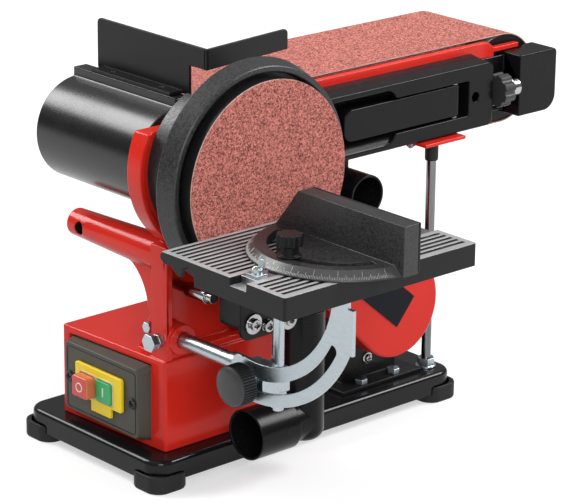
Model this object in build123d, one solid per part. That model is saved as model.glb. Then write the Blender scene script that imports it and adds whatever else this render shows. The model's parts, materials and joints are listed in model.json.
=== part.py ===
from build123d import *
import math
import os

# Belt and disc sander. Millimetres, Z up, X along the belt arm, Y from the disc's working face
# towards the back. Pieces are drawn with x = 0 and y = 0 at the centre of the disc's face and z = 0
# on the bench. They are saved with the origin on the bench, in the middle of the machine's box.

# Fits
running_gap = 0.05        # radial, between a shaft and the bore it turns in
seat_gap = 0.02           # radial, between a pin and the bore that holds it
moving_gap = 0.3          # between faces that slide past each other
swing_gap = 1.5           # between bodies that swing past each other

# Spindle and drive centres
spindle_height = 248.0
drive_reach = 180.0       # sideways from the spindle to the motor axis
motor_height = 71.0       # the motor axis, above the tray
shaft_radius = 7.5
bearing_radius = 17.5
bearing_width = 11.0

# Abrasive disc
disc_radius = 75.0
abrasive_thickness = 1.0
disc_plate_thickness = 10.0
hub_radius = 18.0
hub_length = 9.0

# Disc guard
guard_front = 9.0         # set back from the disc's face
guard_depth = 16.0
guard_front_radius = 83.0
guard_back_radius = 87.5
guard_lip = 5.0
guard_lip_draft = 1.0
guard_wall = 3.5
shaft_clearance = 4.5     # round the shaft where it passes a wall
neck_radius = 61.0
neck_wall = 3.0
neck_start = 112.0        # degrees from +X towards +Z
neck_sweep = 150.0
guard_mouth_angle = 60.0  # half of the opening into the chute, from straight down

# Drive cover, plate behind it, pulleys and toothed belt
cover_front = 45.0
cover_depth = 19.0
cover_radius = 43.0       # at the motor's end
cover_hub_radius = 28.5   # at the spindle's end
cover_wall = 2.5
motor_plate_thickness = 3.0
label_length = 75.0
label_width = 29.0
label_thickness = 0.6
label_end = 9.0           # the label's end, past the motor axis
driven_pulley_radius = 22.0
motor_pulley_radius = 20.0
pulley_rim = 2.0
pulley_rim_width = 1.5
toothed_belt_width = 9.0
toothed_belt_thickness = 1.5

# Stand casting
cup_radius = 69.5
cup_wall = 4.5
cup_flat = 31.5           # height of the cup's flat top above the spindle
web_thickness = 13.0
web_right = 40.0
upright_half = 45.0
upright_depth = 16.0
upright_flange = 6.0      # thickness of the upright's left edge
upright_top = 60.0        # below the spindle
pocket_half = 39.0
pocket_depth = 11.0
pocket_top = 76.0         # below the spindle
pocket_bottom = 145.0     # below the spindle
pocket_corner = 8.0
boss_radius = 24.0
boss_length = 63.0
box_left = -47.0
box_right = 62.0
box_back = 183.5
box_flare = 5.5           # the box's left side leans out this much by its back
box_height = 73.0
box_wall = 5.0
box_corner = 2.5
box_edge = 1.5
foot_gusset_height = 50.0
foot_gusset_reach = 22.0
arm_tube_x = -31.0
arm_tube_drop = 72.0      # below the spindle
arm_tube_root = 14.5
arm_tube_tip = 11.0
arm_tube_end = 190.0
arm_tube_socket = 5.0     # radius of the cross hole
socket_setback = 15.5     # the cross hole, from the tube's tip
gusset_reach = 48.0
gusset_round = 43.0       # the curve under the tube
gusset_width = 16.0

# Lock bolts on the stand's left side
lock_screw_radius = 3.0
lock_head_flats = 13.0
lock_head_height = 5.0
lock_head_reach = 12.0    # the head's outer face, from the upright
side_bolt_back = 8.0      # behind the upright
side_bolt_rise = 20.0     # above the box
side_bolt_flats = 8.0
spot_face_radius = 9.0

# Base tray and feet
tray_left = -67.5
tray_front = 49.0
tray_back = 214.0
tray_margin = 16.0        # right of the support rod
tray_corner = 16.0
tray_height = 17.5
tray_wall = 2.5
tray_edge = 4.0
foot_height = 7.5         # below the tray
foot_side = 32.0
foot_proud = 3.0
foot_grip = 6.5           # up the side of the tray
foot_corner = 12.0

# Motor
motor_radius = 43.0
motor_length = 116.0
motor_wall = 6.0
motor_end_wall = 12.0
motor_shaft_tail = 3.0    # into the end wall
rotor_air = 6.0           # between rotor and motor body
rotor_end_gap = 9.0
motor_shaft_radius = 6.0
motor_foot_half = 30.0
motor_foot_front = 12.0   # behind the motor's front end
motor_foot_length = 80.0
motor_foot_flange = 3.0
motor_foot_toe = 14.0
motor_foot_apron = 17.0   # flange in front of the foot
motor_bolt_half = 18.0    # the front bolts, from the motor axis
motor_bolt_front = 7.0    # behind the apron's edge

# Switch
switch_plate_front = 82.0
switch_plate_length = 90.0
switch_plate_low = 33.0   # above the bench
switch_plate_height = 56.0
switch_plate_thickness = 12.0
switch_plate_draft = 3.0  # the plate's foot is this much larger all round
switch_corner = 4.0
switch_screw_inset = 6.5
switch_frame_front = 98.5
switch_frame_length = 57.0
switch_frame_low = 50.0
switch_frame_height = 27.5
switch_frame_thickness = 3.0
switch_tab_middle = 25.5  # from the frame's front end
switch_tab_half = 12.0
switch_tab_drop = 8.0
button_length = 18.5
button_height = 17.0
button_lift = 3.5         # above the frame's lower edge
green_setback = 11.0      # from the frame's front end
red_setback = 31.5
green_proud = 2.0
red_proud = 9.0
button_depth = 9.0        # behind the frame's face
gland_height = 22.0       # above the tray
gland_radius = 9.0
gland_stem = 6.5
gland_bore = 4.0
gland_collar = 8.0
gland_taper = 8.0
gland_step = 1.5

# Sanding belt and drums
belt_width = 100.0
belt_length = 915.0
belt_thickness = 1.0
belt_outer_radius = 38.0
belt_side_gap = 1.5       # from the arm's side plate to the belt's edge
drum_wall = 5.0
drum_web = 12.0
drum_web_setback = 6.0    # from the bearing boss to the drum's web
drum_end_gap = 1.0        # the drums are this much narrower than the belt at each edge
idler_axle_radius = 6.0
idler_bearing_radius = 16.0
idler_bearing_width = 10.0
idler_bearing_inset = 2.0 # from the drum's far end
platen_thickness = 1.5
platen_margin = 8.0       # from a drum to the platen's end

# Arm frame
side_plate_thickness = 6.0
side_plate_top = 36.0     # above the spindle
side_plate_bottom = 33.0  # below the spindle
side_plate_round = 33.0
side_plate_end = 18.0     # short of the idler's axis
side_plate_corner = 10.0
side_strip_reach = 11.0   # right of the idler's axis, over the end block
side_strip_height = 4.0
bridge_thickness = 4.0
bridge_rib = 4.0
lug_setback = 16.5        # left of the support rod
lug_length = 45.5
lug_thickness = 3.0
lug_drop = 1.4            # from the housing's underside to the lug
lug_overhang = 10.0       # in front of the support rod

# Drum guard and work stop
drum_guard_shift = 18.0   # the half round's centre, left of the spindle
drum_guard_radius = 40.5
drum_guard_wall = 2.0
drum_guard_front_wall = 3.5
drum_guard_lift = 0.4
drum_guard_back = 205.0
drum_guard_top_end = 8.0  # right of the spindle
guard_rib_width = 13.3
guard_rib_lead = 3.6      # the rib's left face, left of the half round's centre
guard_rib_height = 7.1    # above the roof
stop_height = 39.0
stop_sheet = 2.5
stop_overhang = 20.2      # in front of the drum guard
stop_cross_length = 130.0
stop_along_length = 90.0
stop_turn = 6.6           # degrees that the front leaf leans towards the belt
stop_tab_step = 1.0       # from the rib's left face to the tab
stop_tab_inset = 8.0
stop_screw_radius = 2.6
stop_screw_depth = 5.0    # into the rib
stop_screw_inset = 18.0   # from the tab's ends

# Side housing, lever, tracking knob and end block
housing_front = 64.0
housing_half = 26.6
housing_start = 96.0
housing_end = 300.0
housing_wall = 2.5
housing_corner = 6.0
housing_slope = 3.5       # the top rises this much towards the arm
lever_recess_start = 134.0
lever_recess_end = 272.0
lever_recess_half = 14.5
lever_recess_depth = 15.0
lever_recess_corner = 1.5
scoop_end = 192.0
scoop_start = 112.0
scoop_depth = 11.0
scoop_half = 22.5
scoop_corner = 14.0
scoop_floor = 13.0        # half of the scoop's floor, between its sloping sides
lever_gap = 1.5
lever_thickness = 8.0
lever_rounding = 9.0
lever_pin_radius = 3.0
lever_pin_inset = 9.0     # from the lever's hinge end
tracking_radius = 14.0
tracking_length = 12.0
tracking_start = 305.0
tracking_flutes = 8
tracking_flute_radius = 2.8
tracking_neck_radius = 7.8
tracking_screw_radius = 2.8
tracking_screw_reach = 24.0
end_block_length = 44.0
end_block_inset = 8.5     # from the idler's axis to the block's left face
end_block_half = 26.0
end_block_corner = 13.0
end_block_top_corner = 4.0
tongue_thickness = 2.2
tongue_half = 23.5
tongue_reach = 20.0       # into the housing
axle_setback = 14.0       # the axle's end, behind the block's front

# Belt dust port
belt_port_lead = 15.0     # left of the motor axis
belt_port_drop = 62.5
belt_port_bore = 15.5
port_wall = 2.0
belt_port_gap = 1.5       # from the motor plate to the port's mouth
belt_port_depth = 46.0    # the port's closed end, behind the arm's side plate
hood_lead = 36.5          # the hood's middle, left of the port's axis
hood_half = 31.0
hood_depth = 64.0
hood_floor = 20.0         # below the port's axis
hood_belt_gap = 3.0

# Disc dust chute and elbow
chute_left = -21.0
chute_right = 73.5
chute_front = 8.0
chute_depth = 24.0
chute_bottom = 117.0      # below the spindle
chute_corner = 6.0
chute_wall = 2.5
chute_tab_right = 38.0    # the screws' tab on the chute's front
chute_tab_bottom = 124.5
chute_tab_corner = 10.0
elbow_x = 54.0
elbow_outer = 16.5
elbow_bend = 9.0          # rounding of the elbow's closed lower end
mouth_height = 42.0       # mouth axis, above the bench
mouth_bore = 18.0
mouth_wall = 2.0
mouth_length = 39.0
mouth_x = -4.0
washer_screw_x = -8.2
washer_screw_drop = 112.0 # below the spindle
pan_screw_x = 4.8
pan_screw_drop = 116.0    # below the spindle
pan_washer_radius = 5.0
flange_screw_x = 27.0
flange_screw_drop = 116.4
shoulder_x = -25.0
shoulder_drop = 95.0
shoulder_radius = 6.0
shoulder_shank = 4.2
shoulder_collar = 6.0     # bare shank at each end of the shoulder
shoulder_length = 34.0

# Table
table_left = -105.0
table_right = 80.0
table_disc_gap = 3.0
table_depth = 131.0
table_drop = 31.3         # top, below the spindle
table_thickness = 5.0
table_skirt = 17.2
table_wall = 3.0
table_corner = 2.0
table_inner_corner = 1.0
slot_centre = 82.7        # middle of the mitre slot, from the table's disc edge
slot_width = 17.0
slot_depth = 6.0
slot_floor = 2.5
groove_width = 3.3
groove_depth = 1.0
groove_pitch = 6.2
groove_margin = 5.0
tilt_back = 29.0          # tilt axis, from the table's disc edge
tilt_drop = 12.7          # tilt axis, below the table's top
hinge_pin_radius = 3.0
hinge_eye = 6.5
hinge_eye_width = 15.0
hinge_lug = 5.0
arch_radius = 7.0
arch_drop = 11.5          # the arch's centre, below the table's top
relief_width = 15.0       # the skirt's cut-back at its left corner by the disc
relief_drop = 8.5         # below the table's top
relief_reach = 10.0       # from the table's disc edge
tooth_drop = 13.7         # below the table's top
tooth_reach = 18.0        # from the table's disc edge
corner_lug_radius = 3.2
corner_lug_length = 10.0
corner_lug_drop = 4.0     # below the table's top
corner_lug_proud = 1.5    # past the table's disc edge

# Tilt quadrant, rod, clamp block, post and lock knob
quadrant_x = -43.0
quadrant_thickness = 3.0
slot_radius = 95.0
quadrant_slot = 9.0
quadrant_inner = 80.0
quadrant_inner_front = 3.5  # the inner edge's centre, in front of the tilt axis
quadrant_inner_rise = 2.0   # and above it
quadrant_outer = 109.0
quadrant_first = -82.0    # degrees from +Y towards +Z
quadrant_last = -158.0
slot_last = -151.0
lock_angle = -86.5
quadrant_front = 104.0    # in front of the tilt axis
quadrant_arm = 27.0
quadrant_tab = 16.0
quadrant_lobe = 9.5
lobe_angle = -80.0
rod_x = -32.0
rod_drop = 134.0          # below the spindle
rod_radius = 6.0
rod_seat = 14.0
rod_boss_radius = 12.0
rod_boss_proud = 7.0
clamp_right = -12.5
clamp_front = 6.5         # in front of the tilt axis
clamp_back = 16.0         # behind the tilt axis
clamp_top = 126.0         # below the spindle
clamp_step = 5.5          # the post's side of the block is lower by this
clamp_step_gap = 1.5      # from the rod to that step
clamp_bottom = 150.0      # below the spindle
clamp_boss_back = 35.0    # the rod's boss, behind the tilt axis
clamp_end = 3.0           # solid metal between the rod's end and the lock bolt
clamp_gap = 0.5           # from the quadrant to the clamp block
post_x = -18.5
post_radius = 4.2
post_nut_radius = 6.5
post_nut_height = 12.5
post_tail = 3.0
lock_bolt_radius = 4.0
lock_bolt_clear = 2.5     # from the lock bolt's end to the post
lock_washer_radius = 9.5
lock_washer = 2.5
lock_knob_radius = 15.8
lock_knob_length = 17.0
lock_rim = 2.5            # smooth rim round the grip's face
lock_neck = 0.5
lock_neck_radius = 9.0
lock_flutes = 24
lock_flute_radius = 1.4

# Mitre gauge
mitre_pivot_x = -8.0
bar_length = 170.0
bar_left = -95.0
bar_thickness = 5.4
pivot_radius = 4.0
pivot_height = 5.0
protractor_radius = 68.0
protractor_thickness = 7.0
protractor_bevel = 6.0
arc_slot_radius = 49.5
arc_slot_width = 7.0
arc_slot_half = 74.0
fence_left = 7.0          # from the pivot to the fence body's left face
fence_thickness = 14.0
fence_height = 37.0
fence_front = 70.5        # in front of the pivot
fence_back = 67.5         # behind the pivot, at the foot
fence_slope = 29.0
fence_face = 2.0
fence_face_lift = 2.0
mitre_knob_radius = 9.8
mitre_knob_height = 15.0  # from the washer to the knob's top
mitre_knob_grip = 8.5
mitre_stem_radius = 6.5
mitre_washer_radius = 8.8
mitre_bolt_radius = 3.0
mitre_knob_flutes = 8
mitre_flute_radius = 2.6
pointer_gap = 1.0         # from the protractor's edge to the tip
pointer_length = 16.0
pointer_half = 6.0
pointer_thickness = 2.0
pointer_screw = 4.0

# Support rod
support_gap = 12.0        # from the motor to the rod's axis
support_y = 68.0
support_radius = 4.0
support_cap_radius = 5.5
support_cap_height = 14.0
support_cap_bore = 10.0   # depth of the rod's hole in the cap
support_nut_flats = 13.0
support_nut_height = 6.5
support_washer_radius = 8.5

# Fasteners and grips
flute_offset = 0.4        # a flute's centre outside the grip's edge, in flute radii
bolt_flats = 10.0
bolt_head = 4.5
washer_radius = 8.0
washer_thickness = 1.5
screw_radius = 4.5
screw_head = 3.0

# Stations worked out from the sizes above
sz = spindle_height
disc_plate_back = abrasive_thickness + disc_plate_thickness
hub_back = disc_plate_back + hub_length
guard_back = guard_front + guard_depth
cover_back = cover_front + cover_depth
stand_front = cover_back + motor_plate_thickness
stand_back = stand_front + web_thickness
guard_near = stand_back + swing_gap
plate_front = guard_near + drum_guard_front_wall
plate_back = plate_front + side_plate_thickness
belt_near = plate_back + belt_side_gap
belt_far = belt_near + belt_width
drum_radius = belt_outer_radius - belt_thickness - moving_gap
belt_mean_radius = belt_outer_radius - belt_thickness / 2
idler_x = belt_length / 2 - math.pi * belt_mean_radius
boss_end = stand_front + boss_length
web_end = boss_end + drum_web_setback
tray_bottom = foot_height
tray_top = tray_bottom + tray_height
motor_z = tray_top + motor_height
drive_drop = sz - motor_z
support_x = drive_reach + motor_radius + support_gap
tray_right = support_x + tray_margin
belt_port_x = drive_reach - belt_port_lead
belt_port_front = stand_front + belt_port_gap
belt_port_back = plate_front + belt_port_depth
box_top = tray_top + box_height
upright_back = stand_front + upright_depth
rod_z = sz - rod_drop
rod_lock_y = cover_back + washer_radius
gland_z = tray_top + gland_height
motor_back = stand_front + motor_length
rotor_front = stand_front + motor_wall + rotor_end_gap
rotor_back = motor_back - motor_end_wall - rotor_end_gap
rotor_radius = motor_radius - motor_wall - rotor_air
shaft_tail = motor_back - motor_end_wall + motor_shaft_tail
drive_angle = math.degrees(math.atan2(-drive_drop, drive_reach))
drive_length = math.hypot(drive_reach, drive_drop)
pulley_middle = cover_front + cover_depth / 2
table_top = sz - table_drop
table_back = -table_disc_gap
table_front = table_back - table_depth
skirt_bottom = table_top - table_skirt
tilt_y = table_back - tilt_back
tilt_z = table_top - tilt_drop
slot_y = table_back - slot_centre
lock_y = tilt_y + slot_radius * math.cos(math.radians(lock_angle))
lock_z = tilt_z + slot_radius * math.sin(math.radians(lock_angle))
quadrant_right = quadrant_x + quadrant_thickness
clamp_left = quadrant_right + clamp_gap
lock_bolt_end = post_x - post_radius - lock_bolt_clear
rod_front = lock_y + lock_bolt_radius + clamp_end
chute_back = chute_front + chute_depth
elbow_y = chute_front + chute_depth / 2
housing_back = plate_front
tracking_y = plate_front - tongue_thickness - tracking_radius - swing_gap
lever_left = lever_recess_start + lever_gap
lever_right = lever_recess_end - 2 * lever_gap
lever_half = lever_recess_half - lever_gap
lever_pin_x = lever_right - lever_pin_inset
lever_pin_y = housing_front + lever_thickness / 2 + lever_gap
end_block_left = idler_x - end_block_inset
end_block_right = end_block_left + end_block_length
lug_start = support_x - lug_setback
lug_z = sz - housing_half - lug_drop
guard_roof = sz + drum_guard_lift + drum_guard_radius
rib_left = -drum_guard_shift - guard_rib_lead
rib_right = rib_left + guard_rib_width
rib_top = guard_roof + guard_rib_height
stop_front = guard_near - stop_overhang
stop_tab_front = guard_near + stop_tab_inset
stop_tab_back = stop_front + stop_cross_length - stop_tab_inset
mouth_z = mouth_height
support_top = lug_z - lug_thickness
bar_top = table_top - slot_depth + moving_gap + bar_thickness
head_low = table_top + moving_gap
origin_x = (table_left + idler_x + belt_outer_radius) / 2
origin_y = (slot_y - fence_front + tray_back + foot_proud) / 2


def block(x0, x1, y0, y1, z0, z1):
    """A box between two opposite corners."""
    middle = Pos((x0 + x1) / 2, (y0 + y1) / 2, (z0 + z1) / 2)
    return middle * Box(x1 - x0, y1 - y0, z1 - z0)


def bar_x(radius, x0, x1, y, z):
    """A round bar along X."""
    return Pos((x0 + x1) / 2, y, z) * Rot(0, 90, 0) * Cylinder(radius, x1 - x0)


def bar_y(radius, y0, y1, x, z):
    """A round bar along Y."""
    return Pos(x, (y0 + y1) / 2, z) * Rot(90, 0, 0) * Cylinder(radius, y1 - y0)


def bar_z(radius, z0, z1, x, y):
    """A round bar along Z."""
    return Pos(x, y, (z0 + z1) / 2) * Cylinder(radius, z1 - z0)


def slab_x(face, x0, x1):
    """A face drawn in Y and Z, made a slab from x0 to x1."""
    return extrude(Plane.YZ.offset(x0) * face, x1 - x0)


def slab_y(face, y0, y1):
    """A face drawn in X and Z, made a slab from y0 to y1."""
    return extrude(Plane.XZ.offset(-y0) * face, y0 - y1)


def slab_z(face, z0, z1):
    """A face drawn in X and Y, made a slab from z0 to z1."""
    return extrude(Plane.XY.offset(z0) * face, z1 - z0)


def window(u0, u1, v0, v1):
    """A plain rectangle between two opposite corners."""
    return Pos((u0 + u1) / 2, (v0 + v1) / 2) * Rectangle(u1 - u0, v1 - v0)


def rounded(u0, u1, v0, v1, radius):
    """A rectangle with round corners, between two opposite corners."""
    return Pos((u0 + u1) / 2, (v0 + v1) / 2) * RectangleRounded(u1 - u0, v1 - v0, radius)


def stadium(u0, v0, u1, v1, radius):
    """Two equal half rounds joined by straight sides."""
    turn = math.degrees(math.atan2(v1 - v0, u1 - u0))
    place = Pos((u0 + u1) / 2, (v0 + v1) / 2) * Rot(0, 0, turn)
    return place * SlotCenterToCenter(math.hypot(u1 - u0, v1 - v0), 2 * radius)


def wrap(u0, v0, r0, u1, v1, r1):
    """The outline of a tight belt round two wheels of any size."""
    reach = math.hypot(u1 - u0, v1 - v0)
    along = math.atan2(v1 - v0, u1 - u0)
    lean = math.acos((r0 - r1) / reach)
    corners = []
    for turn in (along - lean, along + lean):
        side = [(u0 + r0 * math.cos(turn), v0 + r0 * math.sin(turn))]
        side.append((u1 + r1 * math.cos(turn), v1 + r1 * math.sin(turn)))
        corners += side if turn < along else side[::-1]
    return Polygon(*corners, align=None) + Pos(u0, v0) * Circle(r0) + Pos(u1, v1) * Circle(r1)


def sector(radius, start, end):
    """A pie slice about the sketch origin, from one angle to another, in degrees."""
    steps = [start + (end - start) * i / 4 for i in range(5)]
    reach = 2 * radius
    tips = [(reach * math.cos(math.radians(a)), reach * math.sin(math.radians(a))) for a in steps]
    return Circle(radius) & Polygon((0, 0), *tips, align=None)


def fluted(radius, flutes, flute_radius):
    """A round grip with scallops cut into its edge."""
    grip = Circle(radius)
    flute = Pos(radius + flute_radius * flute_offset, 0) * Circle(flute_radius)
    for i in range(flutes):
        grip -= Rot(0, 0, 360 * i / flutes) * flute
    return grip


def hexagon(flats):
    """A six-sided outline, by its size across flats."""
    return RegularPolygon(flats / math.sqrt(3), 6)


def ball_bearing(bore, radius, y0, y1, x, z):
    """A closed ring standing for a sealed ball bearing."""
    return bar_y(radius, y0, y1, x, z) - bar_y(bore, y0, y1, x, z)


def base_tray():
    lip = rounded(tray_left, tray_right, tray_front, tray_back, tray_corner)
    shell = slab_z(lip, tray_bottom, tray_top)
    shell = fillet(shell.edges().group_by(Axis.Z)[-1], tray_edge)
    hollow = rounded(
        tray_left + tray_wall,
        tray_right - tray_wall,
        tray_front + tray_wall,
        tray_back - tray_wall,
        tray_corner - tray_wall,
    )
    return shell - slab_z(hollow, tray_bottom, tray_top - tray_wall)


def rubber_feet():
    lip = rounded(
        tray_left - seat_gap,
        tray_right + seat_gap,
        tray_front - seat_gap,
        tray_back + seat_gap,
        tray_corner,
    )
    tray_space = slab_z(lip, tray_bottom, tray_top)
    feet = Part()
    for x, across in ((tray_left, 1), (tray_right, -1)):
        for y, along in ((tray_front, 1), (tray_back, -1)):
            inner_x = x + across * foot_side
            inner_y = y + along * foot_side
            outer_x = x - across * foot_proud
            outer_y = y - along * foot_proud
            sides = sorted((inner_x, outer_x)) + sorted((inner_y, outer_y))
            foot = slab_z(rounded(*sides, foot_corner), 0, tray_bottom + foot_grip)
            feet += foot - tray_space
    return feet


def box_solid():
    """The switch box without its hollow: its left side leans out towards the back."""
    plan = [
        (box_left, cover_back),
        (box_right, cover_back),
        (box_right, box_back),
        (box_left - box_flare, box_back),
    ]
    box = slab_z(Polygon(*plan, align=None), tray_top, box_top)
    box = fillet(box.edges().filter_by(Axis.Z), box_corner)
    box = fillet(box.edges().group_by(Axis.Z)[-1], box_edge)
    grow = switch_plate_draft + seat_gap
    return box - block(
        box_left - 2 * box_flare,
        box_left,
        switch_plate_front - grow,
        switch_plate_front + switch_plate_length + grow,
        switch_plate_low - grow,
        switch_plate_low + switch_plate_height + grow,
    )


def stand_casting():
    above = window(-2 * cup_radius, 2 * cup_radius, sz + cup_flat, sz + 3 * cup_radius)
    disc = Pos(0, sz) * Circle(cup_radius)
    beside = window(web_right, 2 * cup_radius, sz - 2 * cup_radius, sz + 2 * cup_radius)
    body = slab_y(disc - above - beside, stand_front, stand_back)
    rim = disc - Pos(0, sz) * Circle(cup_radius - cup_wall)
    rim_right = window(-cup_wall, 2 * cup_radius, sz - 2 * cup_radius, sz + 2 * cup_radius)
    body += slab_y(rim - above - rim_right, cover_back, stand_front)
    body += block(-upright_half, upright_half, stand_front, upright_back, box_top, sz - upright_top)
    flange_right = upright_flange - upright_half
    body += block(-upright_half, flange_right, cover_back, stand_front, box_top, sz - upright_top)
    body += bar_y(boss_radius, stand_front, boss_end, 0, sz)
    body += box_solid() & block(
        2 * box_left,
        2 * box_right,
        cover_back,
        upright_back,
        tray_top,
        box_top,
    )
    tube_z = sz - arm_tube_drop
    tube_middle = (upright_back + arm_tube_end) / 2
    tube = Rot(-90, 0, 0) * Cone(arm_tube_root, arm_tube_tip, arm_tube_end - upright_back)
    body += Pos(arm_tube_x, tube_middle, tube_z) * tube
    body += bar_y(arm_tube_root, stand_front, upright_back, arm_tube_x, tube_z)
    half_gusset = gusset_width / 2
    gusset_low = tube_z - gusset_reach
    gusset = block(
        arm_tube_x - half_gusset,
        arm_tube_x + half_gusset,
        upright_back,
        upright_back + gusset_reach,
        gusset_low,
        tube_z,
    )
    hollow = bar_x(
        gusset_round,
        arm_tube_x - gusset_width,
        arm_tube_x + gusset_width,
        upright_back + arm_tube_tip + gusset_round,
        gusset_low,
    )
    body += gusset - hollow
    foot = [
        (upright_back, box_top),
        (upright_back + foot_gusset_reach, box_top),
        (upright_back, box_top + foot_gusset_height),
    ]
    foot_face = Polygon(*foot, align=None)
    body += slab_x(foot_face, arm_tube_x - half_gusset, arm_tube_x + half_gusset)
    pocket = rounded(-pocket_half, pocket_half, sz - pocket_bottom, sz - pocket_top, pocket_corner)
    body -= slab_y(pocket, stand_front, stand_front + pocket_depth)
    body += bar_y(rod_boss_radius, stand_front - rod_boss_proud, upright_back, rod_x, rod_z)
    seat = bearing_radius + seat_gap
    body -= bar_y(seat, stand_front, stand_back, 0, sz)
    body -= bar_y(seat, boss_end - web_thickness, boss_end, 0, sz)
    body -= bar_y(shaft_radius + shaft_clearance, stand_front, boss_end, 0, sz)
    rod_end = stand_front + rod_seat
    body -= bar_y(rod_radius + seat_gap, stand_front - rod_boss_proud, rod_end, rod_x, rod_z)
    body -= bar_x(lock_screw_radius + seat_gap, -upright_half, rod_x, rod_lock_y, rod_z)
    head_end = -upright_half - lock_head_reach
    body -= bar_x(spot_face_radius, head_end, -upright_half, rod_lock_y, rod_z)
    socket_y = arm_tube_end - socket_setback
    reach = 2 * arm_tube_root
    return body - bar_x(arm_tube_socket, arm_tube_x - reach, arm_tube_x + reach, socket_y, tube_z)


def switch_box():
    """The hollow part of the stand behind its upright, open at the bottom."""
    box = box_solid() & block(
        2 * box_left,
        2 * box_right,
        upright_back,
        box_back,
        tray_top,
        box_top,
    )
    box -= block(
        box_left + box_wall,
        box_right - box_wall,
        upright_back + box_wall,
        box_back - box_wall,
        tray_top,
        box_top - box_wall,
    )
    box -= switch_holes(moving_gap)
    return box - bar_y(gland_stem + seat_gap, box_back - box_wall, box_back, 0, gland_z)


def rod_lock_bolts():
    """The table rod's lock bolt with its nut, and the smaller bolt on the gusset behind it."""
    left = -upright_half
    tip = left - lock_head_reach
    bolt = bar_x(lock_screw_radius, tip, rod_x - rod_radius - seat_gap, rod_lock_y, rod_z)
    head = slab_x(hexagon(lock_head_flats), tip, tip + lock_head_height)
    nut = slab_x(hexagon(bolt_flats), left - bolt_head, left)
    bolt += Pos(0, rod_lock_y, rod_z) * (head + nut)
    gusset_left = arm_tube_x - gusset_width / 2
    side_head = slab_x(hexagon(side_bolt_flats), gusset_left - bolt_head, gusset_left)
    return bolt + Pos(0, upright_back + side_bolt_back, box_top + side_bolt_rise) * side_head


def cable_gland():
    collar_end = box_back + gland_collar
    gland = bar_y(gland_stem, box_back - box_wall, box_back, 0, gland_z)
    gland += bar_y(gland_radius, box_back, collar_end, 0, gland_z)
    taper = Rot(-90, 0, 0) * Cone(gland_radius - gland_step, gland_stem, gland_taper)
    gland += Pos(0, collar_end + gland_taper / 2, gland_z) * taper
    return gland - bar_y(gland_bore, box_back - box_wall, collar_end + gland_taper, 0, gland_z)


def button_windows():
    """The green and the red button's outlines in Y and Z."""
    low = switch_frame_low + button_lift
    fronts = (switch_frame_front + green_setback, switch_frame_front + red_setback)
    return [(y, y + button_length, low, low + button_height) for y in fronts]


def switch_holes(margin):
    """Both buttons' windows, as blocks that pass through frame, plate and box wall."""
    left = box_left - 2 * switch_plate_thickness
    right = box_left + 2 * box_wall
    holes = Part()
    for y0, y1, z0, z1 in button_windows():
        holes += block(left, right, y0 - margin, y1 + margin, z0 - margin, z1 + margin)
    return holes


def switch_plate():
    front = switch_plate_front
    back = front + switch_plate_length
    low = switch_plate_low
    high = low + switch_plate_height
    grow = switch_plate_draft
    face = rounded(front, back, low, high, switch_corner)
    foot = rounded(front - grow, back + grow, low - grow, high + grow, switch_corner)
    sections = [Plane.YZ.offset(box_left) * foot, Plane.YZ.offset(box_left - switch_plate_thickness) * face]
    return loft(sections) - switch_holes(moving_gap)


def switch_frame():
    right = box_left - switch_plate_thickness
    left = right - switch_frame_thickness
    back = switch_frame_front + switch_frame_length
    high = switch_frame_low + switch_frame_height
    middle = switch_frame_front + switch_tab_middle
    face = rounded(switch_frame_front, back, switch_frame_low, high, switch_corner / 2)
    tab_low = switch_frame_low - switch_tab_drop
    tab_top = switch_frame_low + switch_corner
    face += window(middle - switch_tab_half, middle + switch_tab_half, tab_low, tab_top)
    return slab_x(face, left, right) - switch_holes(moving_gap)


def switch_screws():
    x = box_left - switch_plate_thickness
    z = switch_plate_low + switch_plate_height / 2
    back = switch_plate_front + switch_plate_length
    screws = Part()
    for y in (switch_plate_front + switch_screw_inset, back - switch_screw_inset):
        screws += bar_x(screw_radius, x - screw_head / 2, x, y, z)
    return screws


def push_button(outline, proud):
    face_x = box_left - switch_plate_thickness - switch_frame_thickness
    return slab_x(rounded(*outline, switch_corner / 2), face_x - proud, face_x + button_depth)


def motor_plate():
    outline = wrap(0, sz, cover_hub_radius, drive_reach, motor_z, cover_radius)
    plate = slab_y(outline, cover_back, stand_front)
    plate -= bar_y(shaft_radius + shaft_clearance, cover_back, stand_front, 0, sz)
    hole = motor_shaft_radius + shaft_clearance
    return plate - bar_y(hole, cover_back, stand_front, drive_reach, motor_z)


def motor_body():
    can = bar_y(motor_radius, stand_front, motor_back, drive_reach, motor_z)
    can = chamfer(can.edges().group_by(Axis.Y)[-1], motor_wall)
    inside = motor_radius - motor_wall
    can -= bar_y(inside, stand_front + motor_wall, motor_back - motor_end_wall, drive_reach, motor_z)
    bore = motor_shaft_radius + running_gap
    return can - bar_y(bore, stand_front, shaft_tail, drive_reach, motor_z)


def motor_rotor():
    first = pulley_middle - toothed_belt_width / 2 - pulley_rim_width
    rotor = bar_y(motor_shaft_radius, first, shaft_tail - moving_gap, drive_reach, motor_z)
    return rotor + bar_y(rotor_radius, rotor_front, rotor_back, drive_reach, motor_z)


def motor_foot():
    front = stand_front + motor_foot_front
    back = front + motor_foot_length
    left = drive_reach - motor_foot_half
    right = drive_reach + motor_foot_half
    foot = block(left, right, front, back, tray_top, motor_z)
    foot += block(
        left - motor_foot_toe,
        right + motor_foot_toe,
        front - motor_foot_apron,
        back,
        tray_top,
        tray_top + motor_foot_flange,
    )
    return foot - bar_y(motor_radius + seat_gap, front, back, drive_reach, motor_z)


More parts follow.
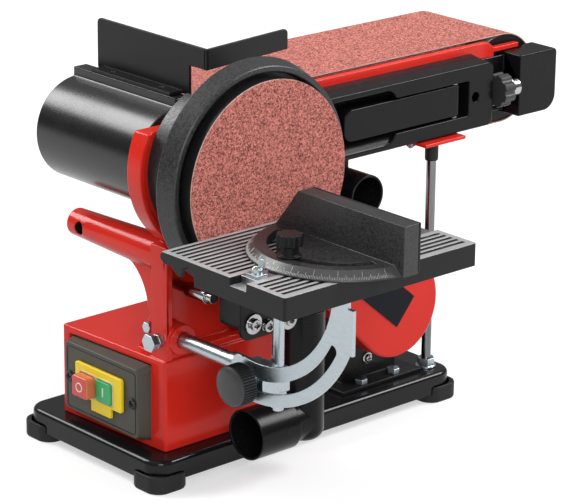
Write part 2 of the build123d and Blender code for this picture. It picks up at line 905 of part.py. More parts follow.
def base_bolts():
    """Hex bolts that hold the motor foot to the tray."""
    toe = motor_foot_half + motor_foot_toe / 2
    foot_front = stand_front + motor_foot_front
    front = foot_front - motor_foot_apron + motor_bolt_front
    back = foot_front + motor_foot_length - bolt_flats
    z = tray_top + motor_foot_flange
    bolts = Part()
    for half, y in ((motor_bolt_half, front), (toe, back)):
        for x in (drive_reach - half, drive_reach + half):
            bolts += Pos(x, y, 0) * slab_z(hexagon(bolt_flats), z, z + bolt_head)
    return bolts


def drive_cover():
    outer = wrap(0, sz, cover_hub_radius, drive_reach, motor_z, cover_radius)
    hub_inside = cover_hub_radius - cover_wall
    inner = wrap(0, sz, hub_inside, drive_reach, motor_z, cover_radius - cover_wall)
    cover = slab_y(outer, cover_front, cover_back)
    cover = fillet(cover.edges().group_by(Axis.Y)[0], cover_wall)
    cover -= slab_y(inner, cover_front + cover_wall, cover_back)
    return cover - bar_y(shaft_radius + shaft_clearance, cover_front, cover_back, 0, sz)


def label_plate():
    middle = drive_length + label_end - label_length / 2
    place = Pos(0, sz) * Rot(0, 0, drive_angle) * Pos(middle, 0)
    face = place * Rectangle(label_length, label_width)
    return slab_y(face, cover_front - label_thickness, cover_front)


def toothed_pulley(radius, bore, x, z):
    half = toothed_belt_width / 2 + moving_gap
    wheel = bar_y(radius, pulley_middle - half, pulley_middle + half, x, z)
    for y in (pulley_middle - half - pulley_rim_width, pulley_middle + half):
        wheel += bar_y(radius + pulley_rim, y, y + pulley_rim_width, x, z)
    reach = half + pulley_rim_width
    return wheel - bar_y(bore, pulley_middle - reach, pulley_middle + reach, x, z)


def toothed_belt():
    near = moving_gap
    far = moving_gap + toothed_belt_thickness
    loops = []
    for grow in (far, near):
        loops.append(
            wrap(0, sz, driven_pulley_radius + grow, drive_reach, motor_z, motor_pulley_radius + grow)
        )
    half = toothed_belt_width / 2
    return slab_y(loops[0] - loops[1], pulley_middle - half, pulley_middle + half)


def spindle_bearings():
    bore = shaft_radius + running_gap
    rings = ball_bearing(bore, bearing_radius, stand_back - bearing_width, stand_back, 0, sz)
    return rings + ball_bearing(bore, bearing_radius, boss_end - bearing_width, boss_end, 0, sz)


def spindle_shaft():
    return bar_y(shaft_radius, disc_plate_back, web_end + drum_web, 0, sz)


def disc_plate():
    plate = bar_y(disc_radius, abrasive_thickness, disc_plate_back, 0, sz)
    plate += bar_y(hub_radius, disc_plate_back, hub_back, 0, sz)
    return plate - bar_y(shaft_radius + seat_gap, disc_plate_back, hub_back, 0, sz)


def abrasive_disc():
    return bar_y(disc_radius, 0, abrasive_thickness, 0, sz)


def drive_drum():
    near = belt_near + drum_end_gap
    far = belt_far - drum_end_gap
    drum = bar_y(drum_radius, near, far, 0, sz)
    drum -= bar_y(drum_radius - drum_wall, near, web_end, 0, sz)
    drum -= bar_y(drum_radius - drum_wall, web_end + drum_web, far, 0, sz)
    return drum - bar_y(shaft_radius + seat_gap, web_end, web_end + drum_web, 0, sz)


def disc_guard():
    hole = hub_radius + 2 * swing_gap
    outline = [
        (guard_front_radius - guard_lip, guard_front),
        (guard_front_radius, guard_front),
        (guard_back_radius, guard_back),
        (hole, guard_back),
        (hole, guard_back - guard_wall),
        (guard_front_radius - guard_lip + guard_lip_draft, guard_back - guard_wall),
    ]
    ring = revolve(Polygon(*outline, align=None), Axis.Y, 360)
    body = Pos(0, 0, sz) * ring
    body -= block(
        chute_left + chute_wall,
        chute_right - chute_wall,
        0,
        guard_back - guard_wall,
        sz - 2 * guard_back_radius,
        sz - disc_radius * math.cos(math.radians(guard_mouth_angle)),
    )
    neck = sector(neck_radius, neck_start, neck_start + neck_sweep) - Circle(neck_radius - neck_wall)
    return body + slab_y(Pos(0, sz) * neck, guard_back, stand_front)


def dust_chute():
    bottom = sz - chute_bottom
    outer = rounded(chute_left, chute_right, bottom, sz, chute_corner)
    inner = rounded(
        chute_left + chute_wall,
        chute_right - chute_wall,
        bottom + chute_wall,
        sz,
        chute_corner - chute_wall,
    )
    chute = slab_y(outer, chute_front, chute_back)
    chute -= slab_y(inner, chute_front + chute_wall, chute_back - chute_wall)
    tab = rounded(chute_left, chute_tab_right, sz - chute_tab_bottom, sz - disc_radius, chute_tab_corner)
    chute += slab_y(tab, chute_front, chute_front + chute_wall)
    chute -= block(2 * chute_left, 2 * chute_right, chute_front, chute_back, sz - disc_radius, 2 * sz)
    chute -= bar_y(guard_back_radius + moving_gap, chute_front, chute_back, 0, sz)
    return chute - bar_z(elbow_outer - port_wall, bottom, bottom + chute_wall, elbow_x, elbow_y)


def guard_screws():
    """Three pan heads on washers, on the chute, and the guard's shoulder bolt."""
    heads = (
        (washer_screw_x, washer_screw_drop, washer_radius),
        (pan_screw_x, pan_screw_drop, pan_washer_radius),
        (flange_screw_x, flange_screw_drop, washer_radius),
    )
    screws = Part()
    for x, drop, radius in heads:
        z = sz - drop
        screws += bar_y(radius, chute_front - washer_thickness, chute_front, x, z)
        screws += bar_y(screw_radius, chute_front - washer_thickness - screw_head, chute_front, x, z)
    z = sz - shoulder_drop
    tip = stand_front - shoulder_length
    screws += bar_y(shoulder_shank, tip, stand_front + pocket_depth, shoulder_x, z)
    collar_end = stand_front - shoulder_collar
    return screws + bar_y(shoulder_radius, tip + shoulder_collar, collar_end, shoulder_x, z)


def dust_elbow():
    top = sz - chute_bottom
    low = mouth_z
    floor = low - elbow_outer
    tube = bar_z(elbow_outer, floor, top, elbow_x, elbow_y)
    tube = fillet(tube.edges().group_by(Axis.Z)[0], elbow_bend)
    tube += bar_x(elbow_outer, mouth_x + mouth_length, elbow_x, elbow_y, low)
    bore = elbow_outer - port_wall
    drop = bar_z(bore, floor + port_wall, top, elbow_x, elbow_y)
    drop = fillet(drop.edges().group_by(Axis.Z)[0], elbow_bend - port_wall)
    mouth = bar_x(mouth_bore + mouth_wall, mouth_x, mouth_x + mouth_length, elbow_y, low)
    tube = tube + mouth - drop - bar_x(bore, mouth_x, elbow_x, elbow_y, low)
    step = mouth_length - 2 * mouth_wall
    return tube - bar_x(mouth_bore, mouth_x, mouth_x + step, elbow_y, low)


def support_rod():
    end = support_top - support_cap_height + support_cap_bore
    return bar_z(support_radius, tray_top, end, support_x, support_y)


def support_nut():
    seat = tray_top + washer_thickness
    top = seat + support_nut_height
    nut = Pos(support_x, support_y, 0) * slab_z(hexagon(support_nut_flats), seat, top)
    nut += bar_z(support_washer_radius, tray_top, seat, support_x, support_y)
    return nut - bar_z(support_radius + seat_gap, tray_top, top, support_x, support_y)


def support_cap():
    low = support_top - support_cap_height
    cap = bar_z(support_cap_radius, low, support_top, support_x, support_y)
    return cap - bar_z(support_radius + seat_gap, low, low + support_cap_bore, support_x, support_y)


def arm_frame():
    low = sz - side_plate_bottom
    high = sz + side_plate_top
    end = idler_x - side_plate_end
    side = window(0, end, low, high)
    side = fillet(side.vertices().group_by(Axis.X)[-1].sort_by(Axis.Y)[-1], side_plate_corner)
    side += Pos(0, sz) * Circle(side_plate_round)
    frame = slab_y(side, plate_front, plate_back)
    bridge_left = drum_radius + platen_margin
    bridge_right = idler_x - drum_radius - platen_margin
    bridge_top = sz + belt_outer_radius - belt_thickness - moving_gap - platen_thickness
    far = belt_far - 2 * drum_end_gap
    frame += block(bridge_left, bridge_right, plate_back, far, bridge_top - bridge_thickness, bridge_top)
    frame += block(bridge_left, bridge_right, far - bridge_rib, far, low, bridge_top)
    lug_end = lug_start + lug_length
    lug_front = support_y - lug_overhang
    frame += block(lug_start, lug_end, lug_front, plate_back, support_top, lug_z)
    strip_low = sz + end_block_half + moving_gap
    frame += block(
        end - side_plate_corner,
        idler_x + side_strip_reach,
        plate_front,
        plate_back,
        strip_low,
        strip_low + side_strip_height,
    )
    return frame - bar_y(boss_radius + running_gap, plate_front, plate_back, 0, sz)


def platen():
    left = drum_radius + platen_margin
    right = idler_x - drum_radius - platen_margin
    top = sz + belt_outer_radius - belt_thickness - moving_gap
    return block(left, right, belt_near, belt_far - 2 * drum_end_gap, top - platen_thickness, top)


def sanding_belt():
    outer = stadium(0, sz, idler_x, sz, belt_outer_radius)
    inner = stadium(0, sz, idler_x, sz, belt_outer_radius - belt_thickness)
    return slab_y(outer - inner, belt_near, belt_far)


def drum_guard():
    middle = sz + drum_guard_lift
    inside = drum_guard_radius - drum_guard_wall
    centre = Pos(-drum_guard_shift, middle)
    roof = window(-drum_guard_shift, drum_guard_top_end, middle, middle + drum_guard_radius)
    beyond = window(-drum_guard_shift, 2 * drum_guard_radius, sz - 2 * drum_guard_radius, middle)
    outer = centre * Circle(drum_guard_radius) - beyond + roof
    space = window(-drum_guard_shift, 2 * drum_guard_radius, sz - 2 * drum_guard_radius, middle + inside)
    inner = centre * Circle(inside) + space
    guard = slab_y(outer - inner, guard_near, drum_guard_back)
    guard += slab_y(outer, guard_near, plate_front)
    guard += slab_y(outer, drum_guard_back - drum_guard_wall, drum_guard_back)
    rib_base = guard_roof - drum_guard_wall
    guard += block(rib_left, rib_right, guard_near, drum_guard_back, rib_base, rib_top)
    guard -= stop_screws(stop_screw_radius + seat_gap)
    return guard - bar_y(boss_radius + moving_gap, guard_near, plate_front, 0, sz)


def stop_screws(radius):
    """Two flush screws through the stop's tab into the rib."""
    x = (rib_left + stop_tab_step + rib_right) / 2
    screws = Part()
    for y in (stop_tab_front + stop_screw_inset, stop_tab_back - stop_screw_inset):
        screws += bar_z(radius, rib_top - stop_screw_depth, rib_top + stop_sheet, x, y)
    return screws


def work_stop():
    high = rib_top + stop_height
    notch_top = sz + cup_radius + swing_gap
    right = rib_right + stop_sheet
    back = stop_front + stop_cross_length
    stop = block(rib_right, right, stop_front, back, notch_top, high)
    stop += block(rib_right, right, guard_near, back, rib_top, notch_top)
    leaf = block(0, stop_along_length, 0, stop_sheet, notch_top, high)
    stop += Pos(rib_right, stop_front, 0) * Rot(0, 0, stop_turn) * leaf
    tab_left = rib_left + stop_tab_step
    stop += block(tab_left, right, stop_tab_front, stop_tab_back, rib_top, rib_top + stop_sheet)
    return stop - stop_screws(stop_screw_radius + seat_gap)


def side_housing():
    outer = rounded(housing_start, housing_end, sz - housing_half, sz + housing_half, housing_corner)
    inner = rounded(
        housing_start + housing_wall,
        housing_end - housing_wall,
        sz - housing_half + housing_wall,
        sz + housing_half - housing_wall,
        housing_corner - housing_wall,
    )
    body = slab_y(outer, housing_front, housing_back)
    top = sz + housing_half
    slope = [(housing_front, top), (housing_back, top), (housing_back, top + housing_slope)]
    slope_face = Polygon(*slope, align=None)
    body += slab_x(slope_face, housing_start + housing_corner, housing_end - housing_corner)
    skin = slab_y(inner, housing_front + housing_wall, housing_back)
    tub = block(
        scoop_start - housing_wall,
        lever_recess_end + housing_wall,
        housing_front,
        housing_front + lever_recess_depth + housing_wall,
        sz - scoop_half,
        sz + scoop_half,
    )
    body -= skin - tub
    recess = rounded(
        lever_recess_start,
        lever_recess_end,
        sz - lever_recess_half,
        sz + lever_recess_half,
        lever_recess_corner,
    )
    body -= slab_y(recess, housing_front, housing_front + lever_recess_depth)
    scoop = rounded(scoop_start, scoop_end, sz - scoop_half, sz + scoop_half, scoop_corner)
    floor = housing_front + scoop_depth
    slopes = [
        (housing_front, sz - scoop_half),
        (floor, sz - scoop_floor),
        (floor, sz + scoop_floor),
        (housing_front, sz + scoop_half),
    ]
    dish = slab_x(Polygon(*slopes, align=None), scoop_start, scoop_end)
    body -= slab_y(scoop, housing_front, floor) & dish
    reach = lever_recess_half + 2 * housing_wall
    body -= bar_z(lever_pin_radius + seat_gap, sz - reach, sz + reach, lever_pin_x, lever_pin_y)
    tongue_space = block(
        housing_end - housing_corner,
        housing_end,
        housing_back - tongue_thickness - seat_gap,
        housing_back,
        sz - tongue_half - seat_gap,
        sz + tongue_half + seat_gap,
    )
    return body - tongue_space


def tension_lever():
    near = lever_pin_y - lever_thickness / 2
    far = lever_pin_y + lever_thickness / 2
    flat_end = lever_pin_x + lever_rounding
    flat = rounded(lever_left, flat_end, sz - lever_half, sz + lever_half, lever_rounding)
    paddle = slab_y(flat, near, far) - block(
        lever_pin_x,
        lever_recess_end,
        near,
        far,
        sz - lever_half,
        sz + lever_half,
    )
    paddle += bar_z(lever_thickness / 2, sz - lever_half, sz + lever_half, lever_pin_x, lever_pin_y)
    bore = lever_pin_radius + running_gap
    return paddle - bar_z(bore, sz - lever_half, sz + lever_half, lever_pin_x, lever_pin_y)


def lever_pin():
    reach = lever_recess_half + 2 * housing_wall
    return bar_z(lever_pin_radius, sz - reach, sz + reach, lever_pin_x, lever_pin_y)


def tracking_knob():
    end = tracking_start + tracking_length
    place = Pos(0, tracking_y, sz)
    grip = fluted(tracking_radius, tracking_flutes, tracking_flute_radius)
    knob = place * slab_x(grip, tracking_start, end)
    knob += bar_x(tracking_neck_radius, end, end_block_left - swing_gap, tracking_y, sz)
    tip = end_block_left + tracking_screw_reach
    return knob + bar_x(tracking_screw_radius, tracking_start, tip, tracking_y, sz)


def end_block():
    face = window(end_block_left, end_block_right, sz - end_block_half, sz + end_block_half)
    face = fillet(face.vertices().group_by(Axis.X)[-1].sort_by(Axis.Y)[0], end_block_corner)
    face = fillet(face.vertices().group_by(Axis.X)[-1].sort_by(Axis.Y)[-1], end_block_top_corner)
    body = slab_y(face, housing_front, plate_back)
    body += block(
        housing_end - tongue_reach,
        end_block_left,
        plate_front - tongue_thickness,
        plate_front,
        sz - tongue_half,
        sz + tongue_half,
    )
    body -= bar_y(idler_axle_radius + seat_gap, housing_front + axle_setback, plate_back, idler_x, sz)
    reach = end_block_left + tracking_screw_reach + moving_gap
    bore = tracking_screw_radius + running_gap
    return body - bar_x(bore, end_block_left, reach, tracking_y, sz)


def idler_axle():
    return bar_y(idler_axle_radius, housing_front + axle_setback, belt_far - drum_end_gap, idler_x, sz)


def idler_drum():
    near = belt_near + drum_end_gap
    far = belt_far - drum_end_gap
    drum = bar_y(drum_radius, near, far, idler_x, sz)
    return drum - bar_y(idler_bearing_radius + seat_gap, near, far, idler_x, sz)


def idler_bearings():
    bore = idler_axle_radius + running_gap
    near = belt_near + drum_end_gap
    far = belt_far - drum_end_gap - idler_bearing_inset
    rings = ball_bearing(bore, idler_bearing_radius, near, near + idler_bearing_width, idler_x, sz)
    return rings + ball_bearing(bore, idler_bearing_radius, far - idler_bearing_width, far, idler_x, sz)


def belt_dust_port():
    z = sz - belt_port_drop
    outer = belt_port_bore + port_wall
    hood_back = plate_front + hood_depth
    hood_top = sz - belt_outer_radius - hood_belt_gap
    left = belt_port_x - hood_lead - hood_half
    right = left + 2 * hood_half
    low = z - hood_floor
    hood = block(left, right, plate_front, hood_back, low, hood_top)
    hood += block(left, right, plate_front, plate_back, hood_top, sz - side_plate_bottom)
    hood += bar_y(outer, belt_port_front, belt_port_back, belt_port_x, z)
    hood -= block(
        left + port_wall,
        right - port_wall,
        plate_back,
        hood_back - port_wall,
        low + port_wall,
        hood_top,
    )
    bore_end = belt_port_back - port_wall
    return hood - bar_y(belt_port_bore, belt_port_front, bore_end, belt_port_x, z)


def table():
    low = skirt_bottom
    plan = rounded(table_left, table_right, table_front, table_back, table_corner)
    top = slab_z(plan, low, table_top)
    under = rounded(
        table_left + table_wall,
        table_right - table_wall,
        table_front + table_wall,
        table_back - table_wall,
        table_inner_corner,
    )
    trough_half = slot_width / 2 + table_wall
    trough = block(
        table_left,
        table_right,
        slot_y - trough_half,
        slot_y + trough_half,
        table_top - slot_depth - slot_floor,
        table_top,
    )
    top -= slab_z(under, low, table_top - table_thickness) - trough
    slot_half = slot_width / 2
    slot_front = slot_y - slot_half
    slot_back = slot_y + slot_half
    top -= block(table_left, table_right, slot_front, slot_back, table_top - slot_depth, table_top)
    y = table_back - groove_margin
    while y > table_front + groove_margin:
        if abs(y - slot_y) > slot_half + groove_width:
            top -= block(
                table_left + groove_margin,
                table_right - groove_margin,
                y - groove_width / 2,
                y + groove_width / 2,
                table_top - groove_depth,
                table_top,
            )
        y -= groove_pitch
    lug_out = hinge_eye_width / 2 + moving_gap
    lug_top = table_top - table_thickness
    for x in (post_x - lug_out - hinge_lug, post_x + lug_out):
        lug = block(x, x + hinge_lug, tilt_y - hinge_eye, tilt_y + hinge_eye, tilt_z, lug_top)
        lug += bar_x(hinge_eye, x, x + hinge_lug, tilt_y, tilt_z)
        top += lug - bar_x(hinge_pin_radius + seat_gap, x, x + hinge_lug, tilt_y, tilt_z)
    inside = table_left + table_wall
    arch_z = table_top - arch_drop
    top -= bar_x(arch_radius, table_left, inside, tilt_y, arch_z)
    top -= block(table_left, inside, tilt_y - arch_radius, tilt_y + arch_radius, low, arch_z)
    relief = [
        (table_back, low),
        (table_back, table_top - relief_drop),
        (table_back - relief_reach, table_top - relief_drop),
        (table_back - tooth_reach, table_top - tooth_drop),
        (tilt_y + arch_radius, table_top - tooth_drop),
        (tilt_y + arch_radius, low),
    ]
    top -= slab_x(Polygon(*relief, align=None), table_left, table_left + relief_width)
    corner_y = table_back - corner_lug_radius + corner_lug_proud
    corner_z = table_top - corner_lug_drop
    return top + bar_x(corner_lug_radius, table_left, table_left + corner_lug_length, corner_y, corner_z)


def hinge_pin():
    reach = hinge_eye_width / 2 + moving_gap + hinge_lug
    return bar_x(hinge_pin_radius, post_x - reach, post_x + reach, tilt_y, tilt_z)


def quadrant():
    plate = sector(quadrant_outer, quadrant_first, quadrant_last)
    arc = sector(slot_radius + quadrant_slot / 2, lock_angle, slot_last)
    arc -= Circle(slot_radius - quadrant_slot / 2)
    for a in (lock_angle, slot_last):
        end = (slot_radius * math.cos(math.radians(a)), slot_radius * math.sin(math.radians(a)))
        arc += Pos(*end) * Circle(quadrant_slot / 2)
    lobe_reach = quadrant_inner - quadrant_inner_rise + quadrant_lobe
    lobe_y = lobe_reach * math.cos(math.radians(lobe_angle))
    lobe_z = lobe_reach * math.sin(math.radians(lobe_angle))
    plate += Pos(lobe_y, lobe_z) * Circle(quadrant_lobe)
    under = table_top - table_thickness - tilt_z
    skirt = skirt_bottom - tilt_z
    knee = slot_radius * math.sin(math.radians(quadrant_last)) - quadrant_slot
    inside = table_front + table_wall + moving_gap - tilt_y
    plate += window(-quadrant_front, quadrant_arm - quadrant_front, knee, skirt - 2 * table_wall)
    plate += window(inside, quadrant_arm - quadrant_front, knee, under)
    plate -= Pos(-quadrant_inner_front, quadrant_inner_rise) * Circle(quadrant_inner)
    plate = slab_x(Pos(tilt_y, tilt_z) * (plate - arc), quadrant_x, quadrant_right)
    tab_top = table_top - table_thickness
    return plate + block(
        quadrant_right,
        quadrant_right + quadrant_tab,
        tilt_y + inside,
        tilt_y + quadrant_arm - quadrant_front,
        tab_top - quadrant_thickness,
        tab_top,
    )


def table_rod():
    return bar_y(rod_radius, rod_front, stand_front + rod_seat, rod_x, rod_z)


def clamp_block():
    low = sz - clamp_bottom
    high = sz - clamp_top
    front = tilt_y - clamp_front
    back = tilt_y + clamp_back
    body = block(clamp_left, clamp_right, front, back, low, high)
    step_left = rod_x + rod_radius + clamp_step_gap
    body -= block(step_left, clamp_right, front, back, high - clamp_step, high)
    boss_back = tilt_y + clamp_boss_back
    body += bar_y(rod_x - clamp_left, back, boss_back, rod_x, rod_z)
    body -= bar_y(rod_radius + seat_gap, rod_front, boss_back, rod_x, rod_z)
    body -= bar_z(post_radius + seat_gap, low, high, post_x, tilt_y)
    bore = lock_bolt_radius + running_gap
    return body - bar_x(bore, clamp_left, lock_bolt_end + moving_gap, lock_y, lock_z)


def table_post():
    low = sz - clamp_bottom - post_nut_height - post_tail
    post = bar_z(post_radius, low, tilt_z, post_x, tilt_y)
    post += bar_x(hinge_eye, post_x - hinge_eye_width / 2, post_x + hinge_eye_width / 2, tilt_y, tilt_z)
    nut_low = sz - clamp_bottom - post_nut_height
    nut = slab_z(RegularPolygon(post_nut_radius, 6), nut_low, sz - clamp_bottom)
    post += Pos(post_x, tilt_y, 0) * nut
    bore = hinge_pin_radius + running_gap
    return post - bar_x(bore, post_x - hinge_eye_width, post_x + hinge_eye_width, tilt_y, tilt_z)


def lock_knob():
    washer_right = quadrant_x - moving_gap
    washer_left = washer_right - lock_washer
    neck_left = washer_left - lock_neck
    knob_left = neck_left - lock_knob_length
    knob = bar_x(lock_bolt_radius, knob_left, lock_bolt_end, lock_y, lock_z)
    knob += bar_x(lock_washer_radius, washer_left, washer_right, lock_y, lock_z)
    knob += bar_x(lock_neck_radius, neck_left, washer_left, lock_y, lock_z)
    rim_end = knob_left + lock_rim
    knob += bar_x(lock_knob_radius, knob_left, rim_end, lock_y, lock_z)
    grip = slab_x(fluted(lock_knob_radius, lock_flutes, lock_flute_radius), rim_end, neck_left)
    return knob + Pos(0, lock_y, lock_z) * grip


def mitre_bar():
    half = slot_width / 2 - moving_gap
    low = bar_top - bar_thickness
    bar = block(bar_left, bar_left + bar_length, slot_y - half, slot_y + half, low, bar_top)
    return bar + bar_z(pivot_radius, bar_top, bar_top + pivot_height, mitre_pivot_x, slot_y)


def mitre_head():
    low = head_low
    round_plate = bar_z(protractor_radius, low, low + protractor_thickness, mitre_pivot_x, slot_y)
    round_plate = chamfer(round_plate.edges().group_by(Axis.Z)[-1], protractor_bevel)
    left = mitre_pivot_x - fence_left
    right = left + fence_thickness
    head = round_plate & block(
        left - 2 * protractor_radius,
        left,
        slot_y - 2 * protractor_radius,
        slot_y + 2 * protractor_radius,
        low,
        low + fence_height,
    )
    front = slot_y - fence_front
    back = slot_y + fence_back
    side = [
        (front, low),
        (back, low),
        (back - fence_slope, low + fence_height),
        (front, low + fence_height),
    ]
    head += slab_x(Polygon(*side, align=None), left, right)
    inner = arc_slot_radius - arc_slot_width / 2
    arc = sector(inner + arc_slot_width, 180 - arc_slot_half, 180 + arc_slot_half) - Circle(inner)
    head -= Pos(mitre_pivot_x, slot_y, 0) * slab_z(arc, low, low + protractor_thickness)
    pivot_top = bar_top + pivot_height + moving_gap
    return head - bar_z(pivot_radius + running_gap, low, pivot_top, mitre_pivot_x, slot_y)


def mitre_fence():
    low = head_low + fence_face_lift
    high = head_low + fence_height
    left = mitre_pivot_x - fence_left + fence_thickness
    front = slot_y - fence_front
    back = slot_y + fence_back
    foot = back - fence_slope * fence_face_lift / fence_height
    side = [(front, low), (foot, low), (back - fence_slope, high), (front, high)]
    return slab_x(Polygon(*side, align=None), left, left + fence_face)


def mitre_knob():
    x = mitre_pivot_x - arc_slot_radius
    seat = head_low + protractor_thickness + moving_gap
    knob = bar_z(mitre_bolt_radius, bar_top + moving_gap, seat, x, slot_y)
    foot = seat + washer_thickness
    knob += bar_z(mitre_washer_radius, seat, foot, x, slot_y)
    top = foot + mitre_knob_height
    grip_low = top - mitre_knob_grip
    knob += bar_z(mitre_stem_radius, foot, grip_low, x, slot_y)
    grip = fluted(mitre_knob_radius, mitre_knob_flutes, mitre_flute_radius)
    return knob + Pos(x, slot_y, 0) * slab_z(grip, grip_low, top)


def mitre_pointer():
    right = mitre_pivot_x - protractor_radius - pointer_gap
    left = right - pointer_length
    high = bar_top + pointer_thickness
    tip = Polygon(
        (left, slot_y - pointer_half),
        (right - pointer_half, slot_y - pointer_half),
        (right, slot_y),
        (right - pointer_half, slot_y + pointer_half),
        (left, slot_y + pointer_half),
        align=None,
    )
    pointer = slab_z(tip, bar_top, high)
    return pointer + bar_z(pointer_screw, high, high + screw_head, left + pointer_half, slot_y)


green_window, red_window = button_windows()
motor_bore = motor_shaft_radius + seat_gap
nodes = {
    "base_tray": base_tray(),
    "rubber_feet": rubber_feet(),
    "stand_casting": stand_casting(),
    "switch_box": switch_box(),
    "rod_lock_bolts": rod_lock_bolts(),
    "cable_gland": cable_gland(),
    "switch_plate": switch_plate(),
    "switch_frame": switch_frame(),
    "switch_screws": switch_screws(),
    "red_button": push_button(red_window, red_proud),
    "green_button": push_button(green_window, green_proud),
    "motor_plate": motor_plate(),
    "motor_body": motor_body(),
    "motor_rotor": motor_rotor(),
    "motor_foot": motor_foot(),
    "base_bolts": base_bolts(),
    "drive_cover": drive_cover(),
    "label_plate": label_plate(),
    "motor_pulley": toothed_pulley(motor_pulley_radius, motor_bore, drive_reach, motor_z),
    "driven_pulley": toothed_pulley(driven_pulley_radius, shaft_radius + seat_gap, 0, sz),
    "toothed_belt": toothed_belt(),
    "spindle_bearings": spindle_bearings(),
    "spindle_shaft": spindle_shaft(),
    "disc_plate": disc_plate(),
    "abrasive_disc": abrasive_disc(),
    "drive_drum": drive_drum(),
    "disc_guard": disc_guard(),
    "dust_chute": dust_chute(),
    "guard_screws": guard_screws(),
    "dust_elbow": dust_elbow(),
    "support_rod": support_rod(),
    "support_nut": support_nut(),
    "support_cap": support_cap(),
    "arm_frame": arm_frame(),
    "platen": platen(),
    "sanding_belt": sanding_belt(),
    "drum_guard": drum_guard(),
    "work_stop": work_stop(),
    "stop_bolts": stop_screws(stop_screw_radius),
    "side_housing": side_housing(),
    "tension_lever": tension_lever(),
    "lever_pin": lever_pin(),
    "tracking_knob": tracking_knob(),
    "end_block": end_block(),
    "idler_axle": idler_axle(),
    "idler_drum": idler_drum(),
    "idler_bearings": idler_bearings(),
    "belt_dust_port": belt_dust_port(),
    "table": table(),
    "hinge_pin": hinge_pin(),
    "quadrant": quadrant(),
    "table_rod": table_rod(),
    "clamp_block": clamp_block(),
    "table_post": table_post(),
    "lock_knob": lock_knob(),
    "mitre_bar": mitre_bar(),
    "mitre_head": mitre_head(),
    "mitre_fence": mitre_fence(),
    "mitre_knob": mitre_knob(),
    "mitre_pointer": mitre_pointer(),
}

os.makedirs("parts", exist_ok=True)
for name, shape in nodes.items():
    export_step(Pos(-origin_x, -origin_y, 0) * shape, f"parts/{name}.step")
print(f"{len(nodes)} nodes, origin at x {origin_x:.2f}, y {origin_y:.2f}, idler at x {idler_x:.2f}")
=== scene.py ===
# %% [markdown]
# # A belt and disc sander, dressed in Blender
# The machine comes in as finished solids at their real size, one object for each piece of metal, rubber
# or plastic. This lesson gives each piece what a solid lacks: rounded edges, marks, small hardware and
# a finish. Nothing here moves or resizes a solid. A piece that looks better than its solid stands in
# its place.

# %% Load the solids
import json
import math
import bmesh
import bpy
from mathutils import Matrix, Vector
from mathutils.bvhtree import BVHTree


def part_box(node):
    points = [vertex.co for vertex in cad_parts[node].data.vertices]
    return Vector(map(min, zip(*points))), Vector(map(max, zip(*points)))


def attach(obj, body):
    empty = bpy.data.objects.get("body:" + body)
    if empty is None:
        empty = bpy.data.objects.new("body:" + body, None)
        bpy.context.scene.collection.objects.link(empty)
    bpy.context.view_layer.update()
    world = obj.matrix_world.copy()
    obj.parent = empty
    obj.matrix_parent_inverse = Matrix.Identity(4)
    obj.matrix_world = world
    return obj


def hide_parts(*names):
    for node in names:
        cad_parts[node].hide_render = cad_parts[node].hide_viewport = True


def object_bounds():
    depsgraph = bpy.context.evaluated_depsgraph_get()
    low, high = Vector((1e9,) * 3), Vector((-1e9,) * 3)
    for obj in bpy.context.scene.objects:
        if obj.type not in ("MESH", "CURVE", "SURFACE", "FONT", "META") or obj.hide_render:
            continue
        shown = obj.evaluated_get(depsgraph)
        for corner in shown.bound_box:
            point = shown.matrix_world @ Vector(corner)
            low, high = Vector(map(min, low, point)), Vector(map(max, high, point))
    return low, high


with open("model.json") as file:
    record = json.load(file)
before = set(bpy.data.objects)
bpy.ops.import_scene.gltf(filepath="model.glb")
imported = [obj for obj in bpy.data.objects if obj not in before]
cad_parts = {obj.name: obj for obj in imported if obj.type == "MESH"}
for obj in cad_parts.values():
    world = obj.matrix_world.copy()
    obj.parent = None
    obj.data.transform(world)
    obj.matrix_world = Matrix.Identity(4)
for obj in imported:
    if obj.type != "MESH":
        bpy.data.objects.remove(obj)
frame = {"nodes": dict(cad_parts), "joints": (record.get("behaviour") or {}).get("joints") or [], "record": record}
cad_low, cad_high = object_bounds()
mm = 0.001
solids = frame["nodes"]
record = frame["record"]
body_of = {n: body for body, members in record["behaviour"]["bodies"].items() for n in members}
joints = {j["name"]: j for j in frame["joints"]}
size_mm = [round((b - a) / mm, 1) for a, b in zip(cad_low, cad_high)]
print(len(solids), "solids, overall size in mm", size_mm)

# %% [markdown]
# ## Camera
# A photograph fixes where its camera stood: the disc is a circle of known size, so its ellipse gives
# the turn, the rise and the distance. Those few numbers are given here, and the camera is placed
# so that the middle of the disc's face falls on the pixel where the photograph has it.

# %% Camera
photo_width, photo_height = 569, 503
camera_turn = math.radians(-42.05)
camera_rise = math.radians(18.58)
camera_roll = math.radians(0.61)
camera_distance = 2.0
focal_pixels = 2742.38
disc_pixel = (269.81, 180.03)
sensor_width = 36.0


def middle_of(node):
    """The middle of a solid's box."""
    low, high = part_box(node)
    return (low + high) / 2


